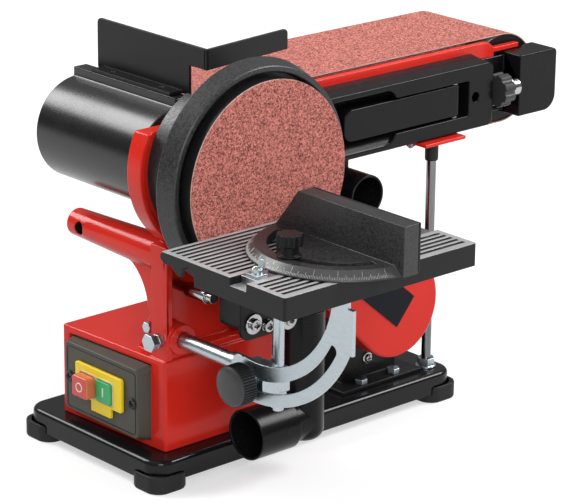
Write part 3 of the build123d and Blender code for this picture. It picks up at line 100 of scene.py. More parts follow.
def stand_camera():
    """Places the camera so that the disc's face lands on its pixel."""
    disc_face = middle_of("abrasive_disc")
    disc_face.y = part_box("abrasive_disc")[0].y
    back = Vector((
        math.sin(camera_turn) * math.cos(camera_rise),
        -math.cos(camera_turn) * math.cos(camera_rise),
        math.sin(camera_rise),
    ))
    level = (-back).cross(Vector((0, 0, 1))).normalized()
    upright = level.cross(-back)
    side = math.cos(camera_roll) * level + math.sin(camera_roll) * upright
    top = math.cos(camera_roll) * upright - math.sin(camera_roll) * level
    across = (disc_pixel[0] - photo_width / 2) / focal_pixels
    down = (disc_pixel[1] - photo_height / 2) / focal_pixels
    place = disc_face + camera_distance * (back - across * side + down * top)
    camera = bpy.data.objects.new("camera", bpy.data.cameras.new("camera"))
    camera.data.sensor_width = sensor_width
    camera.data.lens = focal_pixels * sensor_width / photo_width
    camera.matrix_world = Matrix.Translation(place) @ Matrix((side, top, back)).transposed().to_4x4()
    bpy.context.scene.collection.objects.link(camera)
    bpy.context.scene.camera = camera
    return camera


camera = stand_camera()
camera_place = [round(c, 3) for c in camera.matrix_world.translation]
print("camera at", camera_place, "with a lens of", round(camera.data.lens, 1), "mm")

# %% [markdown]
# ## Node trees
# Materials and Geometry Nodes are both trees of nodes, so one short helper serves them all. It makes a
# node, sets its options, and for each named input either links a socket or writes a plain value.

# %% A helper for node trees
def step(tree, kind, inputs=None, **options):
    """Adds a node; each input takes a socket to link or a value to hold."""
    node = tree.nodes.new(kind)
    for name, value in options.items():
        setattr(node, name, value)
    for name, value in (inputs or {}).items():
        if isinstance(value, bpy.types.NodeSocket):
            tree.links.new(value, node.inputs[name])
        else:
            node.inputs[name].default_value = value
    return node


# %% [markdown]
# ## Floor and backdrop
# The machine stands on a plain white floor, wide enough to fill the picture. A white that only the
# camera and reflections see is mixed in with the Light Path node, so the background is white without
# extra light on the machine, and the floor's own diffuse part still takes the shadow. Above the floor
# is a studio's dim room, paler overhead than at the walls, so that black gloss stays black.

# %% Floor and backdrop
bpy.context.scene.view_settings.view_transform = "Standard"
floor_half = 8.0
floor_grey = 0.45
floor_glow = 0.54
wall_light = 0.16
wall_ends = 0.1
ceiling_light = 0.9
ceiling_starts = 0.95


def seen_ray(tree):
    """One where a ray comes from the camera, a reflection or glass, and nought for plain light."""
    path = step(tree, "ShaderNodeLightPath")
    first = step(
        tree,
        "ShaderNodeMath",
        {0: path.outputs["Is Camera Ray"], 1: path.outputs["Is Glossy Ray"]},
        operation="MAXIMUM",
    )
    both = {0: first.outputs[0], 1: path.outputs["Is Transmission Ray"]}
    return step(tree, "ShaderNodeMath", both, operation="MAXIMUM").outputs[0]


def lay_floor():
    corners = [(x, y, 0) for x, y in ((-1, -1), (1, -1), (1, 1), (-1, 1))]
    mesh = bpy.data.meshes.new("floor")
    mesh.from_pydata([(x * floor_half, y * floor_half, z) for x, y, z in corners], [], [(0, 1, 2, 3)])
    paper = bpy.data.materials.new("floor_paper")
    paper.use_nodes = True
    tree = paper.node_tree
    tree.nodes.clear()
    matt = step(tree, "ShaderNodeBsdfDiffuse", {"Color": (floor_grey, floor_grey, floor_grey, 1)})
    strength = step(tree, "ShaderNodeMath", {0: seen_ray(tree), 1: floor_glow}, operation="MULTIPLY")
    glow = step(tree, "ShaderNodeEmission", {"Strength": strength.outputs[0]})
    both = step(tree, "ShaderNodeAddShader", {0: matt.outputs[0], 1: glow.outputs[0]})
    step(tree, "ShaderNodeOutputMaterial", {"Surface": both.outputs[0]})
    mesh.materials.append(paper)
    floor = bpy.data.objects.new("floor", mesh)
    bpy.context.scene.collection.objects.link(floor)


def hang_sky():
    world = bpy.data.worlds.new("studio")
    world.use_nodes = True
    tree = world.node_tree
    tree.nodes.clear()
    way = step(tree, "ShaderNodeSeparateXYZ", {0: step(tree, "ShaderNodeTexCoord").outputs["Generated"]})
    rise = {0: way.outputs[2], 1: wall_ends, 2: ceiling_starts, 3: wall_light, 4: ceiling_light}
    strength = step(tree, "ShaderNodeMapRange", rise)
    white = step(tree, "ShaderNodeBackground", {"Strength": strength.outputs[0]})
    step(tree, "ShaderNodeOutputWorld", {"Surface": white.outputs[0]})
    bpy.context.scene.world = world


lay_floor()
hang_sky()
print("floor", 2 * floor_half, "m across, room light from", wall_light, "to", ceiling_light)

# %% [markdown]
# ## Lamps
# A studio lights a glossy machine with soft boxes, large white squares that leave long smooth
# highlights. A point lamp is quicker to set, but its highlights are hard dots. Three area lamps stand
# where the photograph's bright bands show them: reflecting the camera's ray in the curved guard and in
# the tray's edges gives their directions. The chart holds each lamp's place, its watts and its width.

# %% Lamps
lamps = {
    "back_box": ((-0.85, 1.9, 1.9), 50, 1.2),
    "right_box": ((1.9, -1.2, 2.1), 72, 1.2),
    "left_box": ((-1.7, -2.3, 1.5), 50, 1.4),
}
lamp_aim = Vector((0, 0, 0.16))


def hang_lamp(name, place, watts, size):
    """A square soft box that faces the machine."""
    lamp = bpy.data.objects.new(name, bpy.data.lights.new(name, "AREA"))
    lamp.data.energy = watts
    lamp.data.size = size
    facing = (Vector(place) - lamp_aim).to_track_quat("Z", "Y")
    lamp.matrix_world = Matrix.Translation(place) @ facing.to_matrix().to_4x4()
    bpy.context.scene.collection.objects.link(lamp)


for name, (place, watts, size) in lamps.items():
    hang_lamp(name, place, watts, size)
print(len(lamps), "lamps,", sum(watts for _, watts, _ in lamps.values()), "W in all")

# %% [markdown]
# ## Shared surface effects
# Four effects turn up in more than one finish, so each is a shader node group with named inputs. A
# group here puts out only what varies over the surface: a tone between 0 and 1 and a height for the
# bump. The colours and the shader itself stay in each material. All of them read Object coordinates,
# which are metres on this machine, so a scale of 1000 gives a pattern about a millimetre across.

# %% A helper for shader groups
def effect_group(name, **inputs):
    """An empty shader group with these named number inputs; returns the tree and its input sockets."""
    tree = bpy.data.node_groups.new(name, "ShaderNodeTree")
    for label, value in inputs.items():
        socket = tree.interface.new_socket(label, in_out="INPUT", socket_type="NodeSocketFloat")
        socket.default_value = value
    for label in ("Tone", "Height"):
        tree.interface.new_socket(label, in_out="OUTPUT", socket_type="NodeSocketFloat")
    return tree, step(tree, "NodeGroupInput").outputs


def close_group(tree, tone, height):
    step(tree, "NodeGroupOutput", {"Tone": tone, "Height": height})
    print("group", tree.name, "with", len(tree.nodes), "nodes")
    return tree


def place_on(tree):
    return step(tree, "ShaderNodeTexCoord").outputs["Object"]


def stretch_tone(tree, value, low, high):
    """Stretches what lies between two values over 0 to 1."""
    return step(tree, "ShaderNodeMapRange", {0: value, 1: low, 2: high}).outputs[0]


# %% [markdown]
# ## Moulded grain
# Black mouldings have a fine sparkle, because the steel of their mould is etched. A picture of that
# grain would have to be laid out on every piece, so two noises stand in for it: a fine one for the
# sparkle and a slow one for a drift of tone.

# %% Moulded grain
def moulded_grain():
    tree, inputs = effect_group("moulded_grain", Scale=1500.0, Drift=18.0)
    place = place_on(tree)
    fine = step(tree, "ShaderNodeTexNoise", {"Vector": place, "Scale": inputs["Scale"], "Detail": 2.0})
    slow = step(tree, "ShaderNodeTexNoise", {"Vector": place, "Scale": inputs["Drift"], "Detail": 3.0})
    mixed = step(tree, "ShaderNodeMath", {0: fine.outputs[0], 1: slow.outputs[0]}, operation="MULTIPLY")
    tone = stretch_tone(tree, mixed.outputs[0], low=0.1, high=0.42)
    return close_group(tree, tone, fine.outputs[0])


grain_group = moulded_grain()


# %% [markdown]
# ## Paint ripple
# Sprayed enamel dries with a faint ripple, like orange peel. It is too shallow to model, but it bends
# reflections, so one noise is put out as height and a slower one as tone.

# %% Paint ripple
def paint_ripple():
    tree, inputs = effect_group("paint_ripple", Scale=260.0, Drift=9.0)
    place = place_on(tree)
    peel = step(tree, "ShaderNodeTexNoise", {"Vector": place, "Scale": inputs["Scale"], "Detail": 1.0})
    slow = step(tree, "ShaderNodeTexNoise", {"Vector": place, "Scale": inputs["Drift"], "Detail": 2.0})
    tone = stretch_tone(tree, slow.outputs[0], low=0.3, high=0.7)
    return close_group(tree, tone, peel.outputs[0])


ripple_group = paint_ripple()


# %% [markdown]
# ## Brushed lines
# Drawn rods, milled tops and plated sheet carry fine scratches that run one way. A noise whose
# coordinates are squeezed along an axis draws out into lines along it, and three inputs choose how much
# each axis of the machine is squeezed.

# %% Brushed lines
def brushed_lines():
    tree, inputs = effect_group("brushed_lines", Along_X=1.0, Along_Y=1.0, Along_Z=1.0, Scale=900.0)
    squeeze = {i: inputs[f"Along_{axis}"] for i, axis in enumerate("XYZ")}
    stretch = step(tree, "ShaderNodeCombineXYZ", squeeze)
    scaled = {0: place_on(tree), 1: stretch.outputs[0]}
    drawn = step(tree, "ShaderNodeVectorMath", scaled, operation="MULTIPLY")
    lines = step(
        tree,
        "ShaderNodeTexNoise",
        {"Vector": drawn.outputs[0], "Scale": inputs["Scale"], "Detail": 3.0, "Roughness": 0.6},
    )
    tone = stretch_tone(tree, lines.outputs[0], low=0.25, high=0.75)
    return close_group(tree, tone, lines.outputs[0])


brushed_group = brushed_lines()


# %% [markdown]
# ## Grit
# Abrasive paper is sharp grains in glue. Real grains would be millions of faces, so a Voronoi texture
# gives each cell a tone of its own, a slower noise gathers the tones a little into clumps, and the
# middle of each cell stands proud. The coarse paint on castings is the same effect, only shallower.

# %% Grit
clump_share = 0.12


def grit_grains():
    tree, inputs = effect_group("grit_grains", Scale=1100.0, Clump=240.0)
    place = place_on(tree)
    grains = step(tree, "ShaderNodeTexVoronoi", {"Vector": place, "Scale": inputs["Scale"]})
    apart = step(tree, "ShaderNodeSeparateColor", {0: grains.outputs["Color"]})
    clumps = step(tree, "ShaderNodeTexNoise", {"Vector": place, "Scale": inputs["Clump"], "Detail": 2.0})
    parts = {0: clumps.outputs[0], 1: clump_share, 2: apart.outputs[0]}
    mixed = step(tree, "ShaderNodeMath", parts, operation="MULTIPLY_ADD")
    tone = stretch_tone(tree, mixed.outputs[0], low=0.03, high=1.08)
    proud = step(tree, "ShaderNodeMath", {0: 1.0, 1: grains.outputs["Distance"]}, operation="SUBTRACT")
    return close_group(tree, tone, proud.outputs[0])


grit_group = grit_grains()

# %% [markdown]
# ## Finishes
# Every finish is a Principled shader with two tones of one colour, mixed by a shared effect, a
# roughness that follows the same effect, and a shallow bump. What is the same all over, such as metal
# or gloss, is written straight on the shader. The lists below read like a paint chart: the two tones,
# then how rough, then how deep.

# %% One maker for all finishes
def finish(name, group, settings, tones, rough, bump, **shader):
    """A material: two tones, a range of roughness and a bump depth in mm, all driven by one effect."""
    material = bpy.data.materials.new(name)
    material.use_nodes = True
    tree = material.node_tree
    skin = tree.nodes["Principled BSDF"]
    for socket, value in shader.items():
        skin.inputs[socket.replace("_", " ")].default_value = value
    effect = step(tree, "ShaderNodeGroup", node_tree=group)
    for socket, value in settings.items():
        effect.inputs[socket].default_value = value
    colours = step(tree, "ShaderNodeMix", data_type="RGBA")
    ends = [socket for socket in colours.inputs if socket.type == "RGBA"]
    for socket, tone in zip(ends, tones):
        socket.default_value = (*tone, 1)
    tree.links.new(effect.outputs["Tone"], colours.inputs[0])
    mixed = next(socket for socket in colours.outputs if socket.type == "RGBA")
    tree.links.new(mixed, skin.inputs["Base Color"])
    spread = {0: effect.outputs["Tone"], 3: rough[0], 4: rough[1]}
    tree.links.new(step(tree, "ShaderNodeMapRange", spread).outputs[0], skin.inputs["Roughness"])
    relief = {"Height": effect.outputs["Height"], "Distance": bump * mm, "Strength": 1.0}
    tree.links.new(step(tree, "ShaderNodeBump", relief).outputs[0], skin.inputs["Normal"])
    return material


# %% [markdown]
# ## Paints
# The stand, the cover and the arm are sprayed red, the tray is a glossy black, sheet pieces are satin
# and the disc guard and mitre head wear a coarser coat. Smooth black paint turns grey under large
# lamps, so its specular level is held low.

# %% Paints
red_enamel = finish(
    "red_enamel", ripple_group, {}, [(0.60, 0.020, 0.012), (0.68, 0.027, 0.016)], (0.15, 0.22), 0.012,
    Specular_IOR_Level=0.2,
)
tray_enamel = finish(
    "tray_enamel", ripple_group, {"Scale": 340.0}, [(0.005, 0.005, 0.006), (0.008, 0.008, 0.009)],
    (0.12, 0.18), 0.012, Specular_IOR_Level=0.22,
)
satin_enamel = finish(
    "satin_enamel", ripple_group, {"Scale": 600.0}, [(0.007, 0.007, 0.008), (0.011, 0.011, 0.012)],
    (0.34, 0.44), 0.012, Specular_IOR_Level=0.2,
)
cast_enamel = finish(
    "cast_enamel", grit_group, {"Scale": 900.0}, [(0.011, 0.011, 0.012), (0.036, 0.036, 0.038)],
    (0.30, 0.48), 0.05, Specular_IOR_Level=0.45,
)
print("paints:", red_enamel.name, tray_enamel.name, satin_enamel.name, cast_enamel.name)

# %% [markdown]
# ## Plastics and rubber
# Guards, knobs and the switch are moulded, and the feet are rubber. One grain at several scales, depths
# and roughnesses tells them apart, so that two black pieces side by side still differ.

# %% Plastics and rubber
glossy_moulding = finish(
    "glossy_moulding", grain_group, {"Scale": 700.0}, [(0.004, 0.004, 0.005), (0.007, 0.007, 0.008)],
    (0.20, 0.28), 0.006, Specular_IOR_Level=0.15,
)
guard_moulding = finish(
    "guard_moulding", grain_group, {"Scale": 700.0}, [(0.005, 0.005, 0.006), (0.009, 0.009, 0.010)],
    (0.22, 0.30), 0.006, Specular_IOR_Level=0.45,
)
black_moulding = finish(
    "black_moulding", grain_group, {}, [(0.006, 0.006, 0.007), (0.011, 0.011, 0.012)], (0.34, 0.46), 0.02,
    Specular_IOR_Level=0.2,
)
grey_moulding = finish(
    "grey_moulding", grain_group, {}, [(0.030, 0.031, 0.031), (0.050, 0.051, 0.051)], (0.34, 0.46), 0.02,
    Specular_IOR_Level=0.35,
)
switch_moulding = finish(
    "switch_moulding", grain_group, {}, [(0.050, 0.046, 0.037), (0.070, 0.064, 0.051)],
    (0.42, 0.55), 0.03, Specular_IOR_Level=0.35,
)
foot_rubber = finish(
    "foot_rubber", grain_group, {"Scale": 900.0}, [(0.006, 0.006, 0.006), (0.011, 0.011, 0.011)],
    (0.50, 0.66), 0.04, Specular_IOR_Level=0.3,
)
blank_plate = finish(
    "blank_plate", grain_group, {"Scale": 300.0}, [(0.005, 0.006, 0.010), (0.008, 0.009, 0.014)],
    (0.30, 0.40), 0.004, Specular_IOR_Level=0.1,
)
yellow_moulding = finish(
    "yellow_moulding", grain_group, {}, [(0.80, 0.58, 0.006), (0.90, 0.66, 0.010)], (0.34, 0.44), 0.01,
)
red_cap = finish(
    "red_cap", grain_group, {}, [(0.54, 0.050, 0.034), (0.64, 0.066, 0.046)], (0.26, 0.36), 0.006,
)
green_cap = finish(
    "green_cap", grain_group, {}, [(0.018, 0.31, 0.085), (0.026, 0.40, 0.12)], (0.26, 0.36), 0.006,
)
clear_rim = finish(
    "clear_rim", grain_group, {}, [(0.50, 0.42, 0.20), (0.60, 0.52, 0.28)], (0.18, 0.28), 0.006,
)
pale_print = finish(
    "pale_print", grain_group, {}, [(0.60, 0.60, 0.56), (0.72, 0.72, 0.69)], (0.45, 0.55), 0.004,
)
print("plastics:", glossy_moulding.name, black_moulding.name, switch_moulding.name, yellow_moulding.name)

# %% [markdown]
# ## Metals
# Zinc plating is bluish and a little dull, chrome is brighter, and aluminium is milled. Each is fully or
# mostly metal in the shader, and its brushed lines run the way its tool went.

# %% Metals
bright_zinc = finish(
    "bright_zinc", brushed_group, {"Along_Y": 0.15, "Along_Z": 0.6},
    [(0.39, 0.445, 0.475), (0.47, 0.52, 0.55)], (0.24, 0.38), 0.006, Metallic=1.0,
)
chrome = finish(
    "chrome", brushed_group, {"Along_Z": 0.04}, [(0.34, 0.34, 0.35), (0.48, 0.48, 0.49)],
    (0.10, 0.20), 0.003, Metallic=1.0,
)
rod_steel = finish(
    "rod_steel", brushed_group, {"Along_Z": 0.04}, [(0.14, 0.145, 0.15), (0.23, 0.235, 0.24)],
    (0.14, 0.24), 0.003, Metallic=1.0,
)
turned_steel = finish(
    "turned_steel", brushed_group, {"Along_Y": 3.0, "Along_X": 0.3, "Along_Z": 0.3},
    [(0.34, 0.34, 0.36), (0.48, 0.48, 0.50)], (0.28, 0.42), 0.008, Metallic=1.0,
)
machined_aluminium = finish(
    "machined_aluminium", brushed_group, {"Along_X": 0.03, "Scale": 1400.0},
    [(0.42, 0.42, 0.43), (0.58, 0.58, 0.59)], (0.40, 0.55), 0.01, Metallic=0.6,
)
black_oxide = finish(
    "black_oxide", brushed_group, {}, [(0.014, 0.014, 0.016), (0.032, 0.032, 0.035)], (0.30, 0.42), 0.004,
    Metallic=0.6,
)
print("metals:", bright_zinc.name, chrome.name, turned_steel.name, machined_aluminium.name)

# %% [markdown]
# ## Abrasives and small finishes
# The grit's two reds lie far apart, so that single grains can be told apart. The belt's back is cloth
# and the disc's edge is pale paper. The scale's band, a button's skirt and the floor of a groove are
# small, but each shows, so each has a finish of its own.

# %% Abrasives and small finishes
red_grit = finish(
    "red_grit", grit_group, {"Scale": 1050.0}, [(0.07, 0.012, 0.009), (0.71, 0.238, 0.194)],
    (0.62, 0.82), 0.1, Specular_IOR_Level=0.3,
)
belt_cloth = finish(
    "belt_cloth", grit_group, {"Scale": 700.0}, [(0.30, 0.12, 0.09), (0.42, 0.19, 0.15)],
    (0.75, 0.9), 0.04, Specular_IOR_Level=0.2,
)
paper_edge = finish(
    "paper_edge", grain_group, {}, [(0.48, 0.34, 0.29), (0.60, 0.45, 0.40)], (0.6, 0.75), 0.02,
)
scale_band = finish(
    "scale_band", grain_group, {}, [(0.040, 0.040, 0.041), (0.066, 0.066, 0.067)], (0.30, 0.42), 0.01,
)
# The skirt's paler, more orange red is a painted glow of light shining through the button's sides.
button_skirt_glow = finish(
    "button_skirt_glow", grain_group, {}, [(0.60, 0.15, 0.06), (0.70, 0.21, 0.09)], (0.20, 0.30), 0.006,
)
groove_shade = finish(
    "groove_shade", brushed_group, {"Along_X": 0.05}, [(0.010, 0.010, 0.011), (0.022, 0.022, 0.023)],
    (0.45, 0.6), 0.01, Specular_IOR_Level=0.3,
)
print("abrasives and small finishes:", red_grit.name, belt_cloth.name, paper_edge.name, scale_band.name)

# %% [markdown]
# ## Dressing a solid
# A solid from a CAD program has knife-sharp edges and arrives as loose triangles. A real casting or
# moulding has a small radius on every edge, and that radius catches the light. So a copy is merged, its
# flat faces are joined back into single faces, a Bevel modifier rounds each hard edge, and a Weighted
# Normal modifier keeps the flats flat. Where edges meet at a needle's point a bevel can shoot past the
# surface, so any point that strays is pulled back to the nearest spot on the solid, and no point leaves
# the solid's box. The result stands for its solid.

# %% Helpers that make a piece
weld_distance = 0.02 * mm
stray_share = 0.6
flat_angle = math.radians(0.6)
hard_angle = math.radians(34)


def new_piece(name, mesh, material):
    mesh.materials.clear()
    mesh.materials.append(material)
    piece = bpy.data.objects.new(name, mesh)
    bpy.context.scene.collection.objects.link(piece)
    return piece


def plain_mesh(name, shape):
    """A mesh with nothing but the shape's points and faces."""
    shape.verts.index_update()
    mesh = bpy.data.meshes.new(name)
    faces = [[v.index for v in face.verts] for face in shape.faces]
    mesh.from_pydata([v.co[:] for v in shape.verts], [], faces)
    shape.free()
    return mesh


def join_flats(shape):
    """Merges doubled points and joins triangles that lie in one plane."""
    bmesh.ops.remove_doubles(shape, verts=shape.verts, dist=weld_distance)
    bmesh.ops.dissolve_limit(shape, angle_limit=flat_angle, verts=shape.verts, edges=shape.edges)
    return shape


def clean_copy(node):
    shape = bmesh.new()
    shape.from_mesh(solids[node].data)
    return join_flats(shape)


def settle(piece):
    """Makes a piece's modifiers into plain mesh."""
    graph = bpy.context.evaluated_depsgraph_get()
    mesh = bpy.data.meshes.new_from_object(piece.evaluated_get(graph), depsgraph=graph)
    piece.modifiers.clear()
    old = piece.data
    piece.data = mesh
    bpy.data.meshes.remove(old)
    mesh.name = piece.name
    return piece


def skin_of(mesh):
    """A search tree over a mesh's faces."""
    points = [vert.co for vert in mesh.vertices]
    return BVHTree.FromPolygons(points, [face.vertices[:] for face in mesh.polygons])


def corners_of(mesh):
    """The lowest and highest corner of a mesh's box."""
    points = [vert.co for vert in mesh.vertices]
    low = [min(point[axis] for point in points) for axis in range(3)]
    high = [max(point[axis] for point in points) for axis in range(3)]
    return low, high


def pull_back(mesh, skin, box, reach):
    """Brings a point that strays further than a reach back to the skin, and keeps all in the box."""
    low, high = box
    for vert in mesh.vertices:
        spot, _, _, gap = skin.find_nearest(vert.co)
        if gap > reach:
            vert.co = spot
        vert.co = [min(max(vert.co[axis], low[axis]), high[axis]) for axis in range(3)]


def round_edges(piece, edge, steps=2):
    """Rounds the hard edges of a piece by a radius in mm."""
    piece.data.shade_smooth()
    skin = skin_of(piece.data)
    box = corners_of(piece.data)
    bevel = piece.modifiers.new("rounding", "BEVEL")
    bevel.width = edge * mm
    bevel.segments = steps
    bevel.limit_method = "ANGLE"
    bevel.angle_limit = hard_angle
    bevel.use_clamp_overlap = False
    settle(piece)
    pull_back(piece.data, skin, box, stray_share * edge * mm)
    even = piece.modifiers.new("even shading", "WEIGHTED_NORMAL")
    even.keep_sharp = True
    return settle(piece)


def adopt(piece, *nodes):
    """A finished piece stands for these solids, and moves with the first one's body."""
    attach(piece, body_of[nodes[0]])
    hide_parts(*nodes)
    return piece


def add_on(piece, body):
    """A finished piece that has no solid of its own moves with a body."""
    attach(piece, body)
    return piece


def bare(node, material, name=None):
    """A clean copy of a solid that still has its hard edges."""
    name = name or node + "_skin"
    return new_piece(name, plain_mesh(name, clean_copy(node)), material)


def dress(node, material, edge, steps=2):
    """The usual treatment: a clean copy with round edges and one finish."""
    return adopt(round_edges(bare(node, material), edge, steps), node)


# %% [markdown]
# ## Pieces that need only round edges
# Most of the machine is treated alike, so a chart lists each solid with its finish and its edge radius
# in millimetres: large on rubber and mouldings, small on sheet metal and bolts. The disc guard's wide
# radius takes four steps to look round.

# %% Dress the plain pieces
dressing = {
    "base_tray": (tray_enamel, 0.5),
    "rubber_feet": (foot_rubber, 1.6),
    "drive_cover": (red_enamel, 0.6),
    "arm_frame": (red_enamel, 0.8),
    "label_plate": (blank_plate, 0.15),
    "motor_body": (satin_enamel, 1.0),
    "motor_plate": (satin_enamel, 0.5),
    "motor_foot": (satin_enamel, 0.6),
    "base_bolts": (bright_zinc, 0.4),
    "disc_guard": (cast_enamel, 1.6, 4),
    "dust_chute": (black_moulding, 0.9),
    "dust_elbow": (glossy_moulding, 0.6),
    "drum_guard": (guard_moulding, 1.4),
    "tension_lever": (glossy_moulding, 1.0),
    "end_block": (glossy_moulding, 1.2),
    "belt_dust_port": (glossy_moulding, 0.7),
    "switch_plate": (switch_moulding, 1.0),
    "switch_frame": (yellow_moulding, 0.6),
    "cable_gland": (black_moulding, 0.6),
    "support_rod": (rod_steel, 0.3),
    "support_nut": (bright_zinc, 0.4),
    "support_cap": (foot_rubber, 1.2),
    "rod_lock_bolts": (bright_zinc, 0.45),
    "quadrant": (bright_zinc, 0.4),
    "table_rod": (bright_zinc, 0.5),
    "clamp_block": (bright_zinc, 0.8),
    "table_post": (bright_zinc, 0.4),
    "mitre_bar": (turned_steel, 0.4),
    "mitre_knob": (black_moulding, 0.7),
    "mitre_pointer": (bright_zinc, 0.3),
    "disc_plate": (black_moulding, 0.4),
    "mitre_fence": (satin_enamel, 0.3),
    "green_button": (green_cap, 0.8),
}
for node, treatment in dressing.items():
    dress(node, *treatment)
print(len(dressing), "pieces dressed")

# %% [markdown]
# ## The red stand
# The stand is one casting, although its solids come in two lumps: an upright and a hollow box.
# Laid side by side they would show a seam, so a Boolean union welds the two copies into one closed skin
# first. Only then are the flats joined and the edges rounded, which gives the crisp, bright paint lines
# along the box.

# %% Weld and dress the stand
def combine(piece, tool, operation, crossing=False):
    """Adds a tool piece to a piece or cuts it away; the tool is used up."""
    join = piece.modifiers.new("combine", "BOOLEAN")
    join.operation = operation
    join.solver = "EXACT"
    join.use_self = crossing
    join.object = tool
    settle(piece)
    bpy.data.objects.remove(tool)


def red_stand():
    stand = bare("stand_casting", red_enamel, "red_stand")
    combine(stand, bare("switch_box", red_enamel, "switch_box_copy"), "UNION")
    shape = bmesh.new()
    shape.from_mesh(stand.data)
    stand.data = plain_mesh("red_stand", join_flats(shape))
    stand.data.materials.append(red_enamel)
    return adopt(round_edges(stand, edge=1.1, steps=3), "stand_casting", "switch_box")


stand = red_stand()
print(stand.name, "has", len(stand.data.polygons), "faces")

# %% [markdown]
# ## Faces with their own finish
# The table is black paint with a machined top, the disc is grit on paper, and the belt is grit outside
# and cloth inside. One mesh can carry several materials, so each face is picked by where it is and
# which way it looks: a normal's part along an axis is 1 where the face looks straight along it and 0
# where it looks across. Mostly this is done before the edges are rounded, because the new faces then
# take the finish of their neighbours.

# %% A helper that paints chosen faces
touching = 0.2 * mm
straight = 0.9
halfway = 0.5


def paint_faces(piece, material, wanted):
    """Gives a material to each face whose middle and normal pass a test; returns how many did."""
    piece.data.materials.append(material)
    last = len(piece.data.materials) - 1
    chosen = [face for face in piece.data.polygons if wanted(face.center, face.normal)]
    for face in chosen:
        face.material_index = last
    return len(chosen)


# %% [markdown]
# ## Cross hole in the stand's tube
# The end of the stand's tube has a round hole across it. Its wall is painted black as painted shade,
# standing for the shade that lies deep in such a hole. The hole is in the solid already, and its stated
# middle and radius tell which faces are its wall, so no second cut is needed.

# %% Cross hole in the stand's tube
hole_wall = 0.3


def paint_hole_shade():
    socket = next(mount for mount in record["mounts"] if mount["name"] == "arm_socket")
    middle = Vector(socket["pos_m"])
    reach = socket["dims"]["r_mm"] * mm + touching

    def inside(at, way):
        return abs(way.x) < hole_wall and math.hypot(at.y - middle.y, at.z - middle.z) < reach

    # Painted shade: the hole's wall takes black enamel in place of the shade deep inside it.
    print("cross hole:", paint_faces(stand, satin_enamel, inside), "faces in shade")


paint_hole_shade()

# %% [markdown]
# ## Table
# The table is a casting, painted black all over and then milled, so bare metal shows only on the lands
# between its grooves and on the floor of its slot. A painted mask could say so, but how deep a face
# lies under the top already tells which one it is.

# %% Table
land_depth = 0.5 * mm
groove_reach = 1.5 * mm
slot_reach = 7 * mm


def dress_table():
    table_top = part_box("table")[1].z
    piece = bare("table", satin_enamel)

    def level(first, last):
        return lambda at, way: way.z > straight and first <= table_top - at.z < last

    lands = paint_faces(piece, machined_aluminium, level(-touching, land_depth))
    grooves = paint_faces(piece, groove_shade, level(land_depth, groove_reach))
    slot = paint_faces(piece, machined_aluminium, level(groove_reach, slot_reach))
    adopt(round_edges(piece, edge=0.25), "table")
    print("table:", lands, "lands,", grooves, "grooves,", slot, "slot floors")


dress_table()

# %% [markdown]
# ## Mitre head and stop button
# The protractor is coarse black paint with a smoother sloping rim for its scale, and the stop button's
# sides are painted paler than its cap, a painted glow for the light that shines through them. Separate
# pieces would show a seam, so both are one mesh, and the faces are picked by the way they look.

# %% Mitre head and stop button
rim_side = -0.02


def dress_mitre_head():
    piece = bare("mitre_head", cast_enamel)

    def on_rim(at, way):
        return halfway < way.z < straight and way.x < rim_side

    faces = paint_faces(piece, scale_band, on_rim)
    adopt(round_edges(piece, edge=0.5), "mitre_head")
    print("mitre head:", faces, "faces on its sloping rim")


def dress_stop_button():
    piece = bare("red_button", red_cap)
    faces = paint_faces(piece, button_skirt_glow, lambda at, way: abs(way.x) < halfway)
    adopt(round_edges(piece, edge=1.2, steps=3), "red_button")
    print("stop button:", faces, "faces on its skirt")


dress_mitre_head()
dress_stop_button()

# %% [markdown]
# ## Abrasive disc and belt
# The disc is grit on paper, and its cut edge shows pale. The belt is an endless loop of cloth with grit
# outside. A flat strip could be bent round the drums, but the solid has the loop already: a face is
# outside if it looks away from the line between the two drums.

# %% Abrasive disc and belt
def dress_disc():
    piece = bare("abrasive_disc", paper_edge)
    faces = paint_faces(piece, red_grit, lambda at, way: way.y < -straight)
    adopt(round_edges(piece, edge=0.15, steps=1), "abrasive_disc")
    print("disc:", faces, "grit faces")


def dress_belt():
    drum = Vector(joints["spindle_spin"]["pos_m"])
    idler = Vector(joints["idler_spin"]["pos_m"])

    def outside(at, way):
        nearest = min(max(at.x, drum.x), idler.x)
        outward = Vector((at.x - nearest, 0, at.z - drum.z))
        return way.dot(outward) > halfway * outward.length

    piece = bare("sanding_belt", belt_cloth)
    faces = paint_faces(piece, red_grit, outside)
    paint_faces(piece, paper_edge, lambda at, way: abs(way.y) > straight)
    adopt(round_edges(piece, edge=0.12, steps=1), "sanding_belt")
    print("belt:", faces, "grit faces")


dress_disc()
dress_belt()

# %% [markdown]
# ## Idler drum
# The drum that the belt runs back over is turned aluminium with moulded black ends. It is one solid, so
# its ends are told from its round by the way they look.

# %% Idler drum
def dress_idler():
    piece = bare("idler_drum", machined_aluminium)
    faces = paint_faces(piece, black_moulding, lambda at, way: abs(way.y) > straight)
    adopt(round_edges(piece, edge=0.8), "idler_drum")
    print("idler drum:", faces, "end faces")


dress_idler()

# %% [markdown]
# ## Repeats and outlines with Geometry Nodes
# Ridged knobs, scale marks, screw recesses and moulded beads all repeat one small shape along a
# circle, an arc, a few points or a rounded outline. A Geometry Nodes tree says that rule once, with its
# sizes as named inputs. Each use sets those inputs by their identifiers, and the result is made a plain
# mesh.

# %% Helpers for Geometry Nodes
def geometry_tree(name, **inputs):
    """An empty tree with named inputs; each is given with its kind of socket."""
    tree = bpy.data.node_groups.new(name, "GeometryNodeTree")
    tree.interface.new_socket("Geometry", in_out="INPUT", socket_type="NodeSocketGeometry")
    for label, kind in {**inputs, "Finish": "Material"}.items():
        tree.interface.new_socket(label, in_out="INPUT", socket_type="NodeSocket" + kind)
    tree.interface.new_socket("Geometry", in_out="OUTPUT", socket_type="NodeSocketGeometry")
    return tree, step(tree, "NodeGroupInput").outputs


